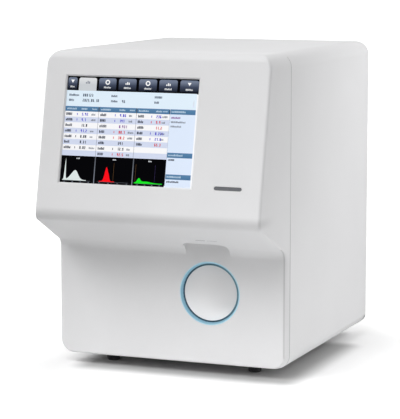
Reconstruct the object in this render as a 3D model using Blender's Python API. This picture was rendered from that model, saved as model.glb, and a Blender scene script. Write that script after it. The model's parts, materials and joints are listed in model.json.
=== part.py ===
"""Compact hematology analyzer: a moulded case with a touch screen, a round aspirate key and a probe pocket
under its nose, a service door on its right side, and the sampling, fluid and electronic units inside.

Lengths are in metres. Inside the case, x runs from the middle to the right, y from the lower front face to
the back, and z up from the underside of the body. The whole object stands on its feet at z = 0.
"""

import math

import bmesh
import bpy
from mathutils import Matrix, Vector

# Clearances
SEAT = 0.0003
DOOR_GAP = 0.0004
RUNNING_GAP = 0.0005
OVERRUN = 0.002
MERGE = 0.000001

# Case
BODY_WIDTH = 0.3028
BODY_DEPTH = 0.3207
BODY_HEIGHT = 0.3786
EDGE_RADIUS = 0.017
REAR_RADIUS = 0.008
SHEET = 0.002
DOOR_LIP = 0.001
REAR_REACH = 0.014

# Front cover
SEAM_Y = 0.007
NOSE_REACH = 0.0796
NOSE_HEIGHT = 0.1795
SLOPE_FOOT = 0.1409
TOP_SETBACK = 0.0414
COVER_WALL = 0.003
BOTTOM_FILLET = 0.003
FOOT_FILLET = 0.014
NOSE_FILLET = 0.010
TOP_FILLET = 0.012
EDGE_ROUND = 0.0035
LOWER_DRAFT = 0.0035
UPPER_DRAFT = 0.0073

# Probe pocket in the slope
POCKET_X = 0.049
POCKET_WIDTH = 0.057
POCKET_REACH = 0.018
POCKET_CORNER = 0.010
POCKET_CEILING = 0.165
POCKET_WALL = 0.0025
LINER_SINK = 0.001
LINER_BACK = 0.0005
LINER_FOOT = 0.132
SLIT_LENGTH = 0.013
SLIT_HEIGHT = 0.0012
SLIT_SPACING = 0.0148
SLIT_X = 0.0587
SLIT_UP = 0.0345

# Screen and status light on the upper face, measured up the face from the nose
WINDOW_WIDTH_SHARE = 0.56473
WINDOW_X_SHARE = -0.09908
WINDOW_FOOT = 0.0446
WINDOW_HEAD = 0.03036
WINDOW_CHAMFER = 0.0015
GLASS_LAP = 0.005
GLASS_THICKNESS = 0.0015
MODULE_LAP = 0.006
MODULE_THICKNESS = 0.009
BRACKET_FLANGE = 0.010
BRACKET_WALL = 0.0012
BRACKET_VENT_WIDTH = 0.110
BRACKET_VENT_HEIGHT = 0.070
SLOT_WIDTH_SHARE = 0.11493
SLOT_HEIGHT = 0.0046
SLOT_X_SHARE = 0.33487
SLOT_UP = 0.0461
LENS_DEPTH = 0.008
LENS_FLANGE = 0.002
LENS_SET = 0.0003

# Aspirate key, measured back from the lower face
KEY_X = 0.051
KEY_Z = 0.0868
RING_RADIUS = 0.0388
RING_LIP = 0.0007
RING_INNER = 0.0359
RING_DEPTH = 0.0065
RING_FLANGE = 0.0032
KEY_RADIUS = 0.0353
KEY_FACE = 0.004
KEY_DISH = 0.0008
KEY_RIM = 0.0015
KEY_THICKNESS = 0.003
KEY_TRAVEL = 0.003
STEM_RADIUS = 0.005
STEM_LENGTH = 0.029
GUIDE_WALL = 0.0025
GUIDE_FLOOR = 0.022
GUIDE_FLOOR_THICKNESS = 0.002
GUIDE_INNER = 0.0385
SLEEVE_LENGTH = 0.010
SLEEVE_WALL = 0.003
SPRING_RADIUS = 0.0085
SPRING_WIRE = 0.0006
SPRING_TURNS = 4
SWITCH_WIDTH = 0.020
SWITCH_HEIGHT = 0.010
SWITCH_DEPTH = 0.012
SWITCH_LEG = 0.0024
SWITCH_LEG_HEIGHT = 0.006
SWITCH_NUB_RADIUS = 0.002
SWITCH_NUB_LENGTH = 0.0012

# Feet
FOOT_HEIGHT = 0.0135
FOOT_RADIUS = 0.0090
FOOT_TAPER = 0.0012
FOOT_CHAMFER = 0.0010
FOOT_SPREAD = 0.190
FOOT_FRONT_Y = 0.040
FOOT_REAR_Y = 0.040

# Service door
HINGE_BORE = 0.0019
HINGE_PIN = 0.0015
HINGE_LUG = 0.004
HINGE_PIN_LENGTH = 0.012
HINGE_LUG_REACH = 0.040
LUG_RADIUS = 0.0028
DOOR_ANGLE_SHARE = 1.0

# Wall between the fluid bay on the right and the electronics on the left
WALL_X = 0.0
WALL_THICKNESS = 0.002
WALL_FRONT = 0.056
WALL_FLANGE = 0.020

# Sampling unit
PROBE_Y = -0.009
RAIL_X = 0.022
RAIL_RADIUS = 0.004
RAIL_EDGE = 0.014
RAIL_OVERHANG = 0.003
FRAME_FRONT = -0.014
FRAME_REAR_SHARE = 0.67041
FRAME_HEIGHT = 0.083
FRAME_DROP = 0.0596
FRAME_SHEET = 0.002
FRAME_FLANGE = 0.026
SAMPLE_TRAVEL_SHARE = 0.5145
BLOCK_LEFT = 0.015
BLOCK_RIGHT = 0.030
BLOCK_EDGE = 0.004
BLOCK_FRONT = -0.009
BLOCK_LENGTH = 0.038
PLATE_THICKNESS = 0.003
PLATE_FRONT = -0.022
PLATE_LOW = 0.172
PLATE_RISE = 0.011
SHELF_THICKNESS = 0.004
SHELF_REACH = 0.036
CLAMP_REACH = 0.009
CLAMP_WIDTH = 0.012
CLAMP_THICKNESS = 0.004
LIFT_SCREW_X = 0.042
LIFT_SCREW_Y = 0.010
LIFT_SCREW_RADIUS = 0.003
LIFT_ROD_X = 0.060
LIFT_ROD_RADIUS = 0.003
LIFT_TRAVEL = 0.055
LIFT_SCREW_LEAD = 0.010
ARM_THICKNESS = 0.012
ARM_DROP = 0.006
ARM_MARGIN = 0.006
PROBE_RADIUS = 0.0010
PROBE_SLEEVE = 0.0022
PROBE_SLEEVE_LENGTH = 0.030
PROBE_BEVEL = 0.002
PROBE_CLEAR = 0.0035
WIPE_RADIUS = 0.0065
WIPE_HEIGHT = 0.014
WIPE_NOSE = 0.003
WIPE_NOSE_RADIUS = 0.004
LIFT_MOTOR_WIDTH = 0.035
LIFT_MOTOR_HEIGHT = 0.024
MOTOR_CORNER = 0.004
MOTOR_BOSS_RADIUS = 0.011
MOTOR_BOSS = 0.0015
PULLEY_RADIUS = 0.007
PULLEY_WIDTH = 0.007
PULLEY_START = 0.0055
PULLEY_RIM = 0.0016
PULLEY_RIM_WIDTH = 0.0006
PULLEY_SHAFT = 0.0025
PULLEY_INSET = 0.012
BELT_THICKNESS = 0.0015
BELT_WIDTH = 0.005
SAMPLE_MOTOR_WIDTH = 0.042
SAMPLE_MOTOR_LENGTH = 0.034

# Baths and waste
BATH_RADIUS = 0.015
BATH_WALL = 0.0025
BATH_TOP = 0.150
BATH_DEPTH = 0.048
BATH_CONE = 0.012
BATH_DRAIN_RADIUS = 0.0035
BATH_DRAIN_BORE = 0.0015
BATH_DRAIN_LENGTH = 0.012
BATH_COLLAR = 0.003
BATH_COLLAR_HEIGHT = 0.003
BATH_SHELF_Z = 0.124
BATH_SHELF = 0.003
BATH_SPACING_SHARE = 0.14344
BATH_SHELF_REACH = 0.072
BATH_SHELF_MARGIN = 0.022
BATH_SHELF_FLANGE = 0.016
WASTE_X_SHARE = 0.34676
WASTE_Y_SHARE = 0.37418
WASTE_RADIUS_SHARE = 0.07926
WASTE_HEIGHT = 0.092
WASTE_CAP = 0.008
WASTE_CAP_RIM = 0.002
WASTE_NIPPLE = 0.003
WASTE_NIPPLE_HEIGHT = 0.010

# Syringe unit
SYRINGE_Y_SHARE = 0.81696
SYRINGE_X = 0.030
SYRINGE_TOP = 0.275
BARREL_RADIUS = 0.010
BARREL_BORE = 0.007
BARREL_LENGTH = 0.085
BARREL_END = 0.004
BARREL_NOZZLE = 0.0035
BARREL_NOZZLE_LENGTH = 0.009
PLUNGER_HEAD = 0.010
PLUNGER_ROD = 0.003
PLUNGER_TRAVEL = 0.050
CROSSHEAD_HEIGHT = 0.010
CROSSHEAD_WIDTH = 0.022
CROSSHEAD_GAP = 0.008
CROSSHEAD_MARGIN = 0.007
SYRINGE_SCREW_X = 0.012
SYRINGE_SCREW_RADIUS = 0.003
SYRINGE_SCREW_LEAD = 0.004
SYRINGE_PLATE = 0.002
SYRINGE_PLATE_WIDTH = 0.050
SYRINGE_SHELF = 0.004
SYRINGE_SHELF_REACH = 0.046
SYRINGE_FOOT_GAP = 0.008
SYRINGE_MOTOR_WIDTH = 0.035
SYRINGE_MOTOR_HEIGHT = 0.030
SYRINGE_MOTOR_X = 0.020

# Valves
VALVE_COUNT = 5
VALVE_SPACING_SHARE = 0.07484
VALVE_FIRST_Y_SHARE = 0.21827
VALVE_Z = 0.050
VALVE_RADIUS = 0.0095
VALVE_LENGTH = 0.030
VALVE_BLOCK = 0.015
VALVE_BLOCK_HEIGHT = 0.030
VALVE_NIPPLE = 0.002
VALVE_NIPPLE_LENGTH = 0.006
VALVE_CAP = 0.003

# Waste pump
PUMP_X = 0.085
PUMP_Y_SHARE = 0.73277
PUMP_Z = 0.045
PUMP_RADIUS = 0.028
PUMP_WALL = 0.003
PUMP_DEPTH = 0.022
PUMP_FLOOR = 0.003
PUMP_MOTOR_RADIUS = 0.018
PUMP_MOTOR_LENGTH = 0.036
PUMP_FOOT_WIDTH = 0.044
PUMP_STAND_WIDTH = 0.030
PUMP_FOOT = 0.004
PUMP_POST = 0.020
PUMP_SHAFT = 0.003
ROLLER_COUNT = 3
ROLLER_RADIUS = 0.006
ROLLER_ORBIT = 0.017
ROTOR_PLATE = 0.003
ROTOR_HUB = 0.008
ROTOR_LENGTH = 0.016

# Electronics
BOARD_X = -0.022
BOARD_THICKNESS = 0.0016
BOARD_FRONT = 0.066
BOARD_REAR = 0.250
BOARD_HEIGHT = 0.140
BOARD_CLEAR = 0.0065
POST_RADIUS = 0.004
POST_INSET = 0.012
CHIP_SIZE = 0.024
CHIP_HEIGHT = 0.003
SOCKET_ROW_WIDTH = 0.006
SOCKET_ROW_LENGTH = 0.060
SOCKET_ROW_HEIGHT = 0.010
CAN_RADIUS = 0.006
CAN_HEIGHT = 0.012
SUPPLY_X_SHARE = -0.2642
SUPPLY_WIDTH_SHARE = 0.29723
SUPPLY_FRONT_SHARE = 0.18709
SUPPLY_GAP = 0.010
SUPPLY_HEIGHT = 0.050
SUPPLY_VENTS = 9
SUPPLY_VENT_WIDTH = 0.003
SUPPLY_VENT_LENGTH = 0.050
SUPPLY_VENT_SPACING = 0.010
SUPPLY_VENT_DEPTH = 0.003
VACUUM_Y_SHARE = 0.74836
VACUUM_BASE_WIDTH = 0.060
VACUUM_BASE_LENGTH = 0.070
VACUUM_BASE = 0.004
VACUUM_BODY_RADIUS = 0.020
VACUUM_BODY_LENGTH = 0.050
VACUUM_HEAD_WIDTH = 0.046
VACUUM_HEAD_LENGTH = 0.014
VACUUM_HEAD_HEIGHT = 0.056
VACUUM_PORT_RADIUS = 0.003
VACUUM_PORT_LENGTH = 0.010
VACUUM_PORT_SPACING = 0.022

# Fan on the rear panel
FAN_X_SHARE = -0.28071
FAN_DROP = 0.0886
FAN_SIZE = 0.080
FAN_DEPTH = 0.025
FAN_BORE = 0.038
FAN_CORNER = 0.006
FAN_HUB = 0.015
FAN_BLADES = 7
FAN_BLADE_GAP = 0.0015
FAN_BLADE_THICKNESS = 0.0014
FAN_BLADE_CHORD = 0.016
FAN_BLADE_TILT_SHARE = 0.6
FAN_STRUT = 0.004
FAN_STRUT_DEPTH = 0.003
FAN_MOTOR_RADIUS = 0.013
GUARD_RINGS = 3
GUARD_WIRE = 0.0016
GUARD_FIRST = 0.012
GUARD_SPACING = 0.0120
GUARD_ARM = 0.0465

# Rear connections
INLET_X = -0.095
INLET_DROP = 0.080
INLET_WIDTH = 0.030
INLET_HEIGHT = 0.056
INLET_FLANGE = 0.003
INLET_LIP = 0.004
INLET_BODY_DEPTH = 0.030
SOCKET_WIDTH = 0.024
SOCKET_HEIGHT = 0.0165
SOCKET_DEPTH = 0.017
SOCKET_CORNER = 0.004
SOCKET_DROP = 0.014
PRONG_WIDTH = 0.002
PRONG_HEIGHT = 0.004
PRONG_LENGTH = 0.014
PRONG_SPACING = 0.007
PRONG_STEP = 0.004
ROCKER_UP = 0.015
ROCKER_WIDTH = 0.020
ROCKER_HEIGHT = 0.0135
ROCKER_DEPTH = 0.009
ROCKER_PROUD = 0.002
ROCKER_TILT_DEGREES = 8
PORT_COUNT = 3
PORT_X = 0.040
PORT_Z = 0.080
PORT_SPACING = 0.028
PORT_FLANGE_RADIUS = 0.009
PORT_FLANGE = 0.002
PORT_THREAD_RADIUS = 0.005
PORT_THREAD_LENGTH = 0.010
PORT_BARB_RADIUS = 0.0034
PORT_TIP_RADIUS = 0.0024
PORT_BORE = 0.0015
DATA_DROP = 0.100
DATA_WIDTH = 0.070
DATA_HEIGHT = 0.022
DATA_DEPTH = 0.018
DATA_FLANGE = 0.001
DATA_LIP = 0.004
USB_WIDTH = 0.013
USB_HEIGHT = 0.0055
USB_DEPTH = 0.012
USB_PITCH = 0.010
NETWORK_SIZE = 0.0135
SERIAL_WIDTH = 0.018
SERIAL_HEIGHT = 0.009

# Turned and rounded shapes
ARC_STEPS = 6
ROUND_STEPS = 24
BATH_STEPS = 16
SMALL_STEPS = 12
COLUMN_STEPS = 24
KEY_STEPS = 48
SMOOTH_DEGREES = 34

# Places worked out from the sizes above
HALF_WIDTH = BODY_WIDTH / 2
DOOR_TOP = BODY_HEIGHT - EDGE_RADIUS - DOOR_LIP
COLUMN_FOOT = REAR_RADIUS + HINGE_LUG + SEAT * 2
HINGE_X = HALF_WIDTH - REAR_RADIUS
HINGE_Y = BODY_DEPTH - REAR_RADIUS
PANEL_FACE = BODY_DEPTH - SHEET
LEAN = math.atan2(TOP_SETBACK, BODY_HEIGHT - NOSE_HEIGHT)
SLOPE_TILT = math.atan2(SLOPE_FOOT - NOSE_HEIGHT, NOSE_REACH)
WALL_RIGHT = WALL_X + WALL_THICKNESS / 2
WALL_LEFT = WALL_X - WALL_THICKNESS / 2
FLOOR_Z = SHEET + SEAT
GLASS_FACE = COVER_WALL + SEAT
FACE_LENGTH = math.hypot(TOP_SETBACK, BODY_HEIGHT - NOSE_HEIGHT)
WINDOW_WIDTH = BODY_WIDTH * WINDOW_WIDTH_SHARE
WINDOW_HEIGHT = FACE_LENGTH - WINDOW_FOOT - WINDOW_HEAD
WINDOW_X = BODY_WIDTH * WINDOW_X_SHARE
WINDOW_UP = WINDOW_FOOT + WINDOW_HEIGHT / 2
SLOT_WIDTH = BODY_WIDTH * SLOT_WIDTH_SHARE
SLOT_X = BODY_WIDTH * SLOT_X_SHARE
FRAME_HIGH = BODY_HEIGHT - FRAME_DROP
FRAME_LOW = FRAME_HIGH - FRAME_HEIGHT
FRAME_REAR = BODY_DEPTH * FRAME_REAR_SHARE
RAIL_TOP = FRAME_HIGH - RAIL_EDGE
RAIL_BOTTOM = FRAME_LOW + RAIL_EDGE
BLOCK_LOW = FRAME_LOW + BLOCK_EDGE
BLOCK_HIGH = FRAME_HIGH - BLOCK_EDGE
PLATE_HIGH = FRAME_HIGH + PLATE_RISE
PULLEY_Z = FRAME_LOW + FRAME_HEIGHT / 2
PULLEY_FRONT_Y = FRAME_FRONT + PULLEY_INSET
PULLEY_REAR_Y = FRAME_REAR - PULLEY_INSET
SAMPLE_TRAVEL = BODY_DEPTH * SAMPLE_TRAVEL_SHARE
BATH_SPACING = BODY_DEPTH * BATH_SPACING_SHARE
WASTE_X = BODY_WIDTH * WASTE_X_SHARE
WASTE_Y = BODY_DEPTH * WASTE_Y_SHARE
WASTE_RADIUS = BODY_WIDTH * WASTE_RADIUS_SHARE
SYRINGE_Y = BODY_DEPTH * SYRINGE_Y_SHARE
VALVE_SPACING = BODY_DEPTH * VALVE_SPACING_SHARE
VALVE_FIRST_Y = BODY_DEPTH * VALVE_FIRST_Y_SHARE
PUMP_Y = BODY_DEPTH * PUMP_Y_SHARE
BOARD_HIGH = PULLEY_Z - SAMPLE_MOTOR_WIDTH / 2 - BOARD_CLEAR
BOARD_LOW = BOARD_HIGH - BOARD_HEIGHT
FAN_X = BODY_WIDTH * FAN_X_SHARE
FAN_Z = BODY_HEIGHT - FAN_DROP
VACUUM_X = FAN_X
VACUUM_Y = BODY_DEPTH * VACUUM_Y_SHARE
SUPPLY_X = BODY_WIDTH * SUPPLY_X_SHARE
SUPPLY_WIDTH = BODY_WIDTH * SUPPLY_WIDTH_SHARE
SUPPLY_FRONT = BODY_DEPTH * SUPPLY_FRONT_SHARE
SUPPLY_LENGTH = VACUUM_Y - VACUUM_BASE_LENGTH / 2 - VACUUM_PORT_LENGTH - SUPPLY_GAP - SUPPLY_FRONT
DATA_X = FAN_X
DATA_Z = FAN_Z - DATA_DROP
INLET_Z = DATA_Z - INLET_DROP

PLACES = {}


def look(name, colour, roughness, metallic=0.0):
    """Return a material with one colour, roughness and metallic value."""
    material = bpy.data.materials.get(name)
    if material is None:
        material = bpy.data.materials.new(name)
        material.use_nodes = True
        shader = material.node_tree.nodes["Principled BSDF"]
        shader.inputs["Base Color"].default_value = (*colour, 1.0)
        shader.inputs["Roughness"].default_value = roughness
        shader.inputs["Metallic"].default_value = metallic
    return material


def case_white():
    return look("case_white", (0.80, 0.81, 0.82), 0.45)


def cover_white():
    return look("cover_white", (0.86, 0.87, 0.87), 0.40)


def key_white():
    return look("key_white", (0.88, 0.89, 0.89), 0.35)


def ring_blue():
    return look("ring_blue", (0.25, 0.62, 0.80), 0.20)


def black_rubber():
    return look("black_rubber", (0.02, 0.02, 0.02), 0.80)


def dark_plastic():
    return look("dark_plastic", (0.04, 0.04, 0.045), 0.50)


def grey_plastic():
    return look("grey_plastic", (0.45, 0.46, 0.47), 0.50)


def screen_glass():
    return look("screen_glass", (0.05, 0.06, 0.08), 0.12)


def clear_plastic():
    return look("clear_plastic", (0.75, 0.80, 0.82), 0.15)


def sheet_steel():
    return look("sheet_steel", (0.62, 0.63, 0.64), 0.35, 1.0)


def bright_steel():
    return look("bright_steel", (0.75, 0.76, 0.77), 0.20, 1.0)


def aluminium():
    return look("aluminium", (0.70, 0.71, 0.72), 0.35, 1.0)


def brass():
    return look("brass", (0.72, 0.55, 0.25), 0.30, 1.0)


def board_green():
    return look("board_green", (0.03, 0.20, 0.09), 0.55)


def belt_black():
    return look("belt_black", (0.03, 0.03, 0.03), 0.70)


def remove_old_objects():
    """Empty the scene that the script starts in."""
    for old in list(bpy.data.objects):
        bpy.data.objects.remove(old, do_unlink=True)


def frame(name, parent=None, at=(0.0, 0.0, 0.0), tilt=0.0):
    """Add an empty that carries pieces."""
    empty = bpy.data.objects.new(name, None)
    bpy.context.scene.collection.objects.link(empty)
    empty.parent = parent
    empty.location = at
    empty.rotation_euler = (tilt, 0.0, 0.0)
    PLACES[name] = Vector((0.0, 0.0, 0.0))
    return empty


def linked(name, mesh, origin, parent):
    """Turn a mesh, drawn in its parent's frame, into an object whose origin is at the given place."""
    bmesh.ops.translate(mesh, verts=mesh.verts, vec=-origin)
    data = bpy.data.meshes.new(name)
    mesh.to_mesh(data)
    mesh.free()
    placed = bpy.data.objects.new(name, data)
    bpy.context.scene.collection.objects.link(placed)
    placed.parent = parent
    placed.location = origin - PLACES[parent.name]
    PLACES[name] = origin.copy()
    return placed


def piece(name, mesh, material, parent, origin=(0.0, 0.0, 0.0)):
    """Add one sub-part with its material and smooth round faces."""
    placed = linked(name, mesh, Vector(origin), parent)
    placed.data.materials.append(material)
    placed.data.shade_smooth()
    placed.data.set_sharp_from_angle(angle=math.radians(SMOOTH_DEGREES))
    return placed


def tool_object(name, mesh, parent):
    """Add a hidden object that a sub-part is cut or fused with."""
    tool = linked(name, mesh, PLACES[parent.name].copy(), parent)
    tool.hide_render = True
    tool.display_type = "WIRE"
    return tool


def combine_with(target, tool, operation):
    """Change an object by a Boolean with a hidden tool."""
    change = target.modifiers.new(f"{operation.lower()}_{len(target.modifiers) + 1}", "BOOLEAN")
    change.operation = operation
    change.solver = "EXACT"
    change.object = tool


def combine(target, mesh, operation):
    """Change an object by a Boolean with a tool drawn in the frame of the object's parent."""
    name = f"{target.name}_tool_{len(target.modifiers) + 1}"
    combine_with(target, tool_object(name, mesh, target.parent), operation)


def cut(target, *meshes):
    """Take shapes away from a sub-part."""
    for mesh in meshes:
        combine(target, mesh, "DIFFERENCE")


def join(target, *meshes):
    """Fuse shapes with a sub-part."""
    for mesh in meshes:
        combine(target, mesh, "UNION")


def keep(target, mesh):
    """Keep only what lies inside a shape."""
    combine(target, mesh, "INTERSECT")


def cleaned(mesh):
    """Merge doubled corners and point all faces out."""
    bmesh.ops.remove_doubles(mesh, verts=mesh.verts, dist=MERGE)
    bmesh.ops.dissolve_degenerate(mesh, edges=mesh.edges, dist=MERGE)
    bmesh.ops.recalc_face_normals(mesh, faces=mesh.faces)
    return mesh


def gathered(meshes):
    """Return one mesh that holds several shapes that lie apart."""
    whole = bmesh.new()
    for mesh in meshes:
        copies = [whole.verts.new(vertex.co) for vertex in mesh.verts]
        mesh.verts.index_update()
        for face in mesh.faces:
            whole.faces.new([copies[vertex.index] for vertex in face.verts])
        mesh.free()
    bmesh.ops.recalc_face_normals(whole, faces=whole.faces)
    return whole


def loft(rings, closed=False):
    """Join rings of points into a solid, with flat ends or, when closed, with the last ring on the first."""
    mesh = bmesh.new()
    loops = [[mesh.verts.new(point) for point in ring] for ring in rings]
    size = len(loops[0])
    pairs = list(zip(loops, loops[1:]))
    if closed:
        pairs.append((loops[-1], loops[0]))
    for low, high in pairs:
        for index in range(size):
            following = (index + 1) % size
            mesh.faces.new((low[index], low[following], high[following], high[index]))
    if not closed:
        mesh.faces.new(loops[0])
        mesh.faces.new(loops[-1])
    return cleaned(mesh)


def on_axis(axis, u, v, height):
    """Place a flat point (u, v) at a height along the x, y or z axis."""
    if axis == "x":
        return Vector((height, u, v))
    if axis == "y":
        return Vector((u, height, v))
    return Vector((u, v, height))


def prism(outline, low, high, axis="z"):
    """Extrude an outline along an axis between two heights."""
    return loft([[on_axis(axis, u, v, height) for u, v in outline] for height in (low, high)])


def block(x, y, z):
    """Return a box from its (low, high) reach along each axis."""
    return prism([(x[0], y[0]), (x[1], y[0]), (x[1], y[1]), (x[0], y[1])], z[0], z[1])


def centred(middle, size):
    """Return the (low, high) reach of a size about a middle."""
    return (middle - size / 2, middle + size / 2)


def circle(radius, steps, centre=(0.0, 0.0)):
    """Return the points of a circle."""
    angles = [math.tau * index / steps for index in range(steps)]
    return [(centre[0] + radius * math.cos(a), centre[1] + radius * math.sin(a)) for a in angles]


def arc(centre, radius, start, end, steps=ARC_STEPS):
    """Return the points of an arc, with its ends given in degrees."""
    angles = [math.radians(start + (end - start) * index / steps) for index in range(steps + 1)]
    return [(centre[0] + radius * math.cos(a), centre[1] + radius * math.sin(a)) for a in angles]


def rounded_rectangle(u, v, radius, steps=3):
    """Return a rectangle between two reaches, with its corners rounded."""
    low_u, high_u = u[0] + radius, u[1] - radius
    low_v, high_v = v[0] + radius, v[1] - radius
    return (
        arc((high_u, low_v), radius, -90, 0, steps)
        + arc((high_u, high_v), radius, 0, 90, steps)
        + arc((low_u, high_v), radius, 90, 180, steps)
        + arc((low_u, low_v), radius, 180, 270, steps)
    )


def turned(profile, axis="z", centre=(0.0, 0.0), steps=ROUND_STEPS, hollow=False):
    """Turn a profile of (radius, height) about an axis; a hollow one is a closed ring of points."""
    rings = []
    for radius, height in profile:
        rings.append([on_axis(axis, u, v, height) for u, v in circle(radius, steps, centre)])
    return loft(rings, closed=hollow)


def rod(radius, low, high, axis="z", centre=(0.0, 0.0), steps=SMALL_STEPS):
    """Return a plain round bar."""
    return turned([(radius, low), (radius, high)], axis, centre, steps)


def stations(first, spacing, count):
    """Return evenly spaced places."""
    return [first + spacing * index for index in range(count)]


def tilted(mesh, angle, at):
    """Turn a shape about the x axis and then move it."""
    turn = Matrix.Translation(at) @ Matrix.Rotation(angle, 4, "X")
    bmesh.ops.transform(mesh, matrix=turn, verts=mesh.verts)
    return mesh


def shell(outer, inner):
    """Join two grids of points, one inside the other, into a thin closed shell."""
    mesh = bmesh.new()
    skins = [[[mesh.verts.new(point) for point in row] for row in grid] for grid in (outer, inner)]
    rows, columns = len(outer), len(outer[0])
    for skin in skins:
        for row in range(rows - 1):
            for column in range(columns - 1):
                low, high = skin[row], skin[row + 1]
                mesh.faces.new((low[column], low[column + 1], high[column + 1], high[column]))
    rim = [(0, column) for column in range(columns)]
    rim += [(row, columns - 1) for row in range(1, rows)]
    rim += [(rows - 1, column) for column in range(columns - 2, -1, -1)]
    rim += [(row, 0) for row in range(rows - 2, 0, -1)]
    for index, (row, column) in enumerate(rim):
        next_row, next_column = rim[(index + 1) % len(rim)]
        mesh.faces.new((
            skins[0][row][column],
            skins[0][next_row][next_column],
            skins[1][next_row][next_column],
            skins[1][row][column],
        ))
    return cleaned(mesh)


def half_width(z, inset):
    """Return half the width of the case at a height, or of a skin that lies an inset inside it."""
    radius = EDGE_RADIUS - inset
    reach = min(z - inset, BODY_HEIGHT - inset - z)
    drop = min(max(radius - reach, 0.0), radius)
    return HALF_WIDTH - inset - radius + math.sqrt(radius * radius - drop * drop)


def face_y(z):
    """Return where the front, without its fillets, lies at a height."""
    if z <= SLOPE_FOOT:
        return 0.0
    if z <= NOSE_HEIGHT:
        return -NOSE_REACH * (z - SLOPE_FOOT) / (NOSE_HEIGHT - SLOPE_FOOT)
    return TOP_SETBACK * (z - NOSE_HEIGHT) / (BODY_HEIGHT - NOSE_HEIGHT) - NOSE_REACH


def draft(z):
    """Return how much narrower each side of the front is than the seam behind it."""
    rise = min(max((z - SLOPE_FOOT) / (NOSE_HEIGHT - SLOPE_FOOT), 0.0), 1.0)
    return LOWER_DRAFT + (UPPER_DRAFT - LOWER_DRAFT) * rise


def filleted(before, corner, after, radius):
    """Return the points of a rounded corner, each with the direction that points out of the case."""
    back = (before - corner).normalized()
    ahead = (after - corner).normalized()
    half = back.angle(ahead) / 2
    middle = corner + (back + ahead).normalized() * (radius / math.sin(half))
    spoke = corner + back * (radius / math.tan(half)) - middle
    last = corner + ahead * (radius / math.tan(half)) - middle
    sweep = math.atan2(spoke.x * last.y - spoke.y * last.x, spoke.dot(last))
    points = []
    for index in range(ARC_STEPS + 1):
        turn = Matrix.Rotation(sweep * index / ARC_STEPS, 2)
        heading = turn @ -back
        points.append((middle + turn @ spoke, Vector((-heading.y, heading.x))))
    return points


def front_profile():
    """Return the side view of the front, from the seam below round the nose to the seam on top."""
    corners = [
        (SEAM_Y, 0.0, 0.0),
        (0.0, 0.0, BOTTOM_FILLET),
        (0.0, SLOPE_FOOT, FOOT_FILLET),
        (-NOSE_REACH, NOSE_HEIGHT, NOSE_FILLET),
        (TOP_SETBACK - NOSE_REACH, BODY_HEIGHT, TOP_FILLET),
        (SEAM_Y, BODY_HEIGHT, 0.0),
    ]
    places = [Vector((y, z)) for y, z, _ in corners]
    path = [(places[0], Vector((0.0, -1.0)))]
    for index in range(1, len(corners) - 1):
        path += filleted(places[index - 1], places[index], places[index + 1], corners[index][2])
    path.append((places[-1], Vector((0.0, 1.0))))
    return path


def with_corner_levels(path):
    """Add points at the heights where the sides of the case round over."""
    drops = [EDGE_RADIUS * (1 - math.sin(math.pi / 2 * index / ARC_STEPS)) for index in range(ARC_STEPS)]
    levels = sorted(drops + [BODY_HEIGHT - drop for drop in drops])
    filled = [path[0]]
    for (here, out), (following, next_out) in zip(path, path[1:]):
        straight = out.dot(next_out) > 1 - MERGE
        for level in levels:
            if straight and here.y + MERGE < level < following.y - MERGE:
                filled.append((here.lerp(following, (level - here.y) / (following.y - here.y)), out))
        filled.append((following, next_out))
    return filled


def bend(start, corner, end, share):
    """Return a point of the curve that rounds the corner between two ends."""
    return start.lerp(corner, share).lerp(corner.lerp(end, share), share)


def cover_row(y, z, inset):
    """Return the points across the front cover at one place of its profile."""
    seam = Vector((half_width(z, inset), SEAM_Y))
    share = min((SEAM_Y - y) / (SEAM_Y - face_y(z)), 1.0)
    corner = Vector((seam.x - draft(z) * share, y))
    run = (seam - corner).length
    radius = min(EDGE_ROUND, run / 2)
    front = corner - Vector((radius, 0.0))
    side = corner.lerp(seam, radius / run) if run else seam
    half = [bend(front, corner, side, share) for share in (0, 1 / 3, 2 / 3, 1)] + [seam]
    right = [Vector((place.x, place.y, z)) for place in half]
    left = [Vector((-place.x, place.y, z)) for place in reversed(half)]
    return left + right


def cover_grid(inset):
    """Return the front cover's skin that lies an inset inside its outer face."""
    rows = []
    for place, out in with_corner_levels(front_profile()):
        inner = place - out * inset
        rows.append(cover_row(inner.x, inner.y, inset))
    return rows


def cover_core(inset):
    """Return the front of the case as a solid, an inset smaller all round."""
    grid = cover_grid(inset)
    mesh = bmesh.new()
    skin = [[mesh.verts.new(point) for point in row] for row in grid]
    for low, high in zip(skin, skin[1:]):
        for column in range(len(low) - 1):
            mesh.faces.new((low[column], low[column + 1], high[column + 1], high[column]))
    back = [row[-1] for row in skin] + [row[0] for row in reversed(skin)]
    mesh.faces.new(back)
    return cleaned(mesh)


def pocket_outline(grow):
    """Return the probe pocket seen from above, grown by a wall."""
    half = POCKET_WIDTH / 2 + grow
    radius = POCKET_CORNER + grow
    front = -POCKET_REACH - grow
    back = (COVER_WALL + LINER_BACK) if grow else 0.0
    return (
        arc((POCKET_X - half + radius, front + radius), radius, 180, 270)
        + arc((POCKET_X + half - radius, front + radius), radius, 270, 360)
        + [(POCKET_X + half, back), (POCKET_X - half, back)]
    )


def upper_face_place(x, depth, up):
    """Return a place on the upper face in the frame of the case."""
    return Vector((
        x,
        -NOSE_REACH + depth * math.cos(LEAN) + up * math.sin(LEAN),
        NOSE_HEIGHT - depth * math.sin(LEAN) + up * math.cos(LEAN),
    ))


def on_upper_face(mesh):
    """Move a shape drawn in the frame of the upper face into that of the case."""
    return tilted(mesh, -LEAN, upper_face_place(0.0, 0.0, 0.0))


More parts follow.
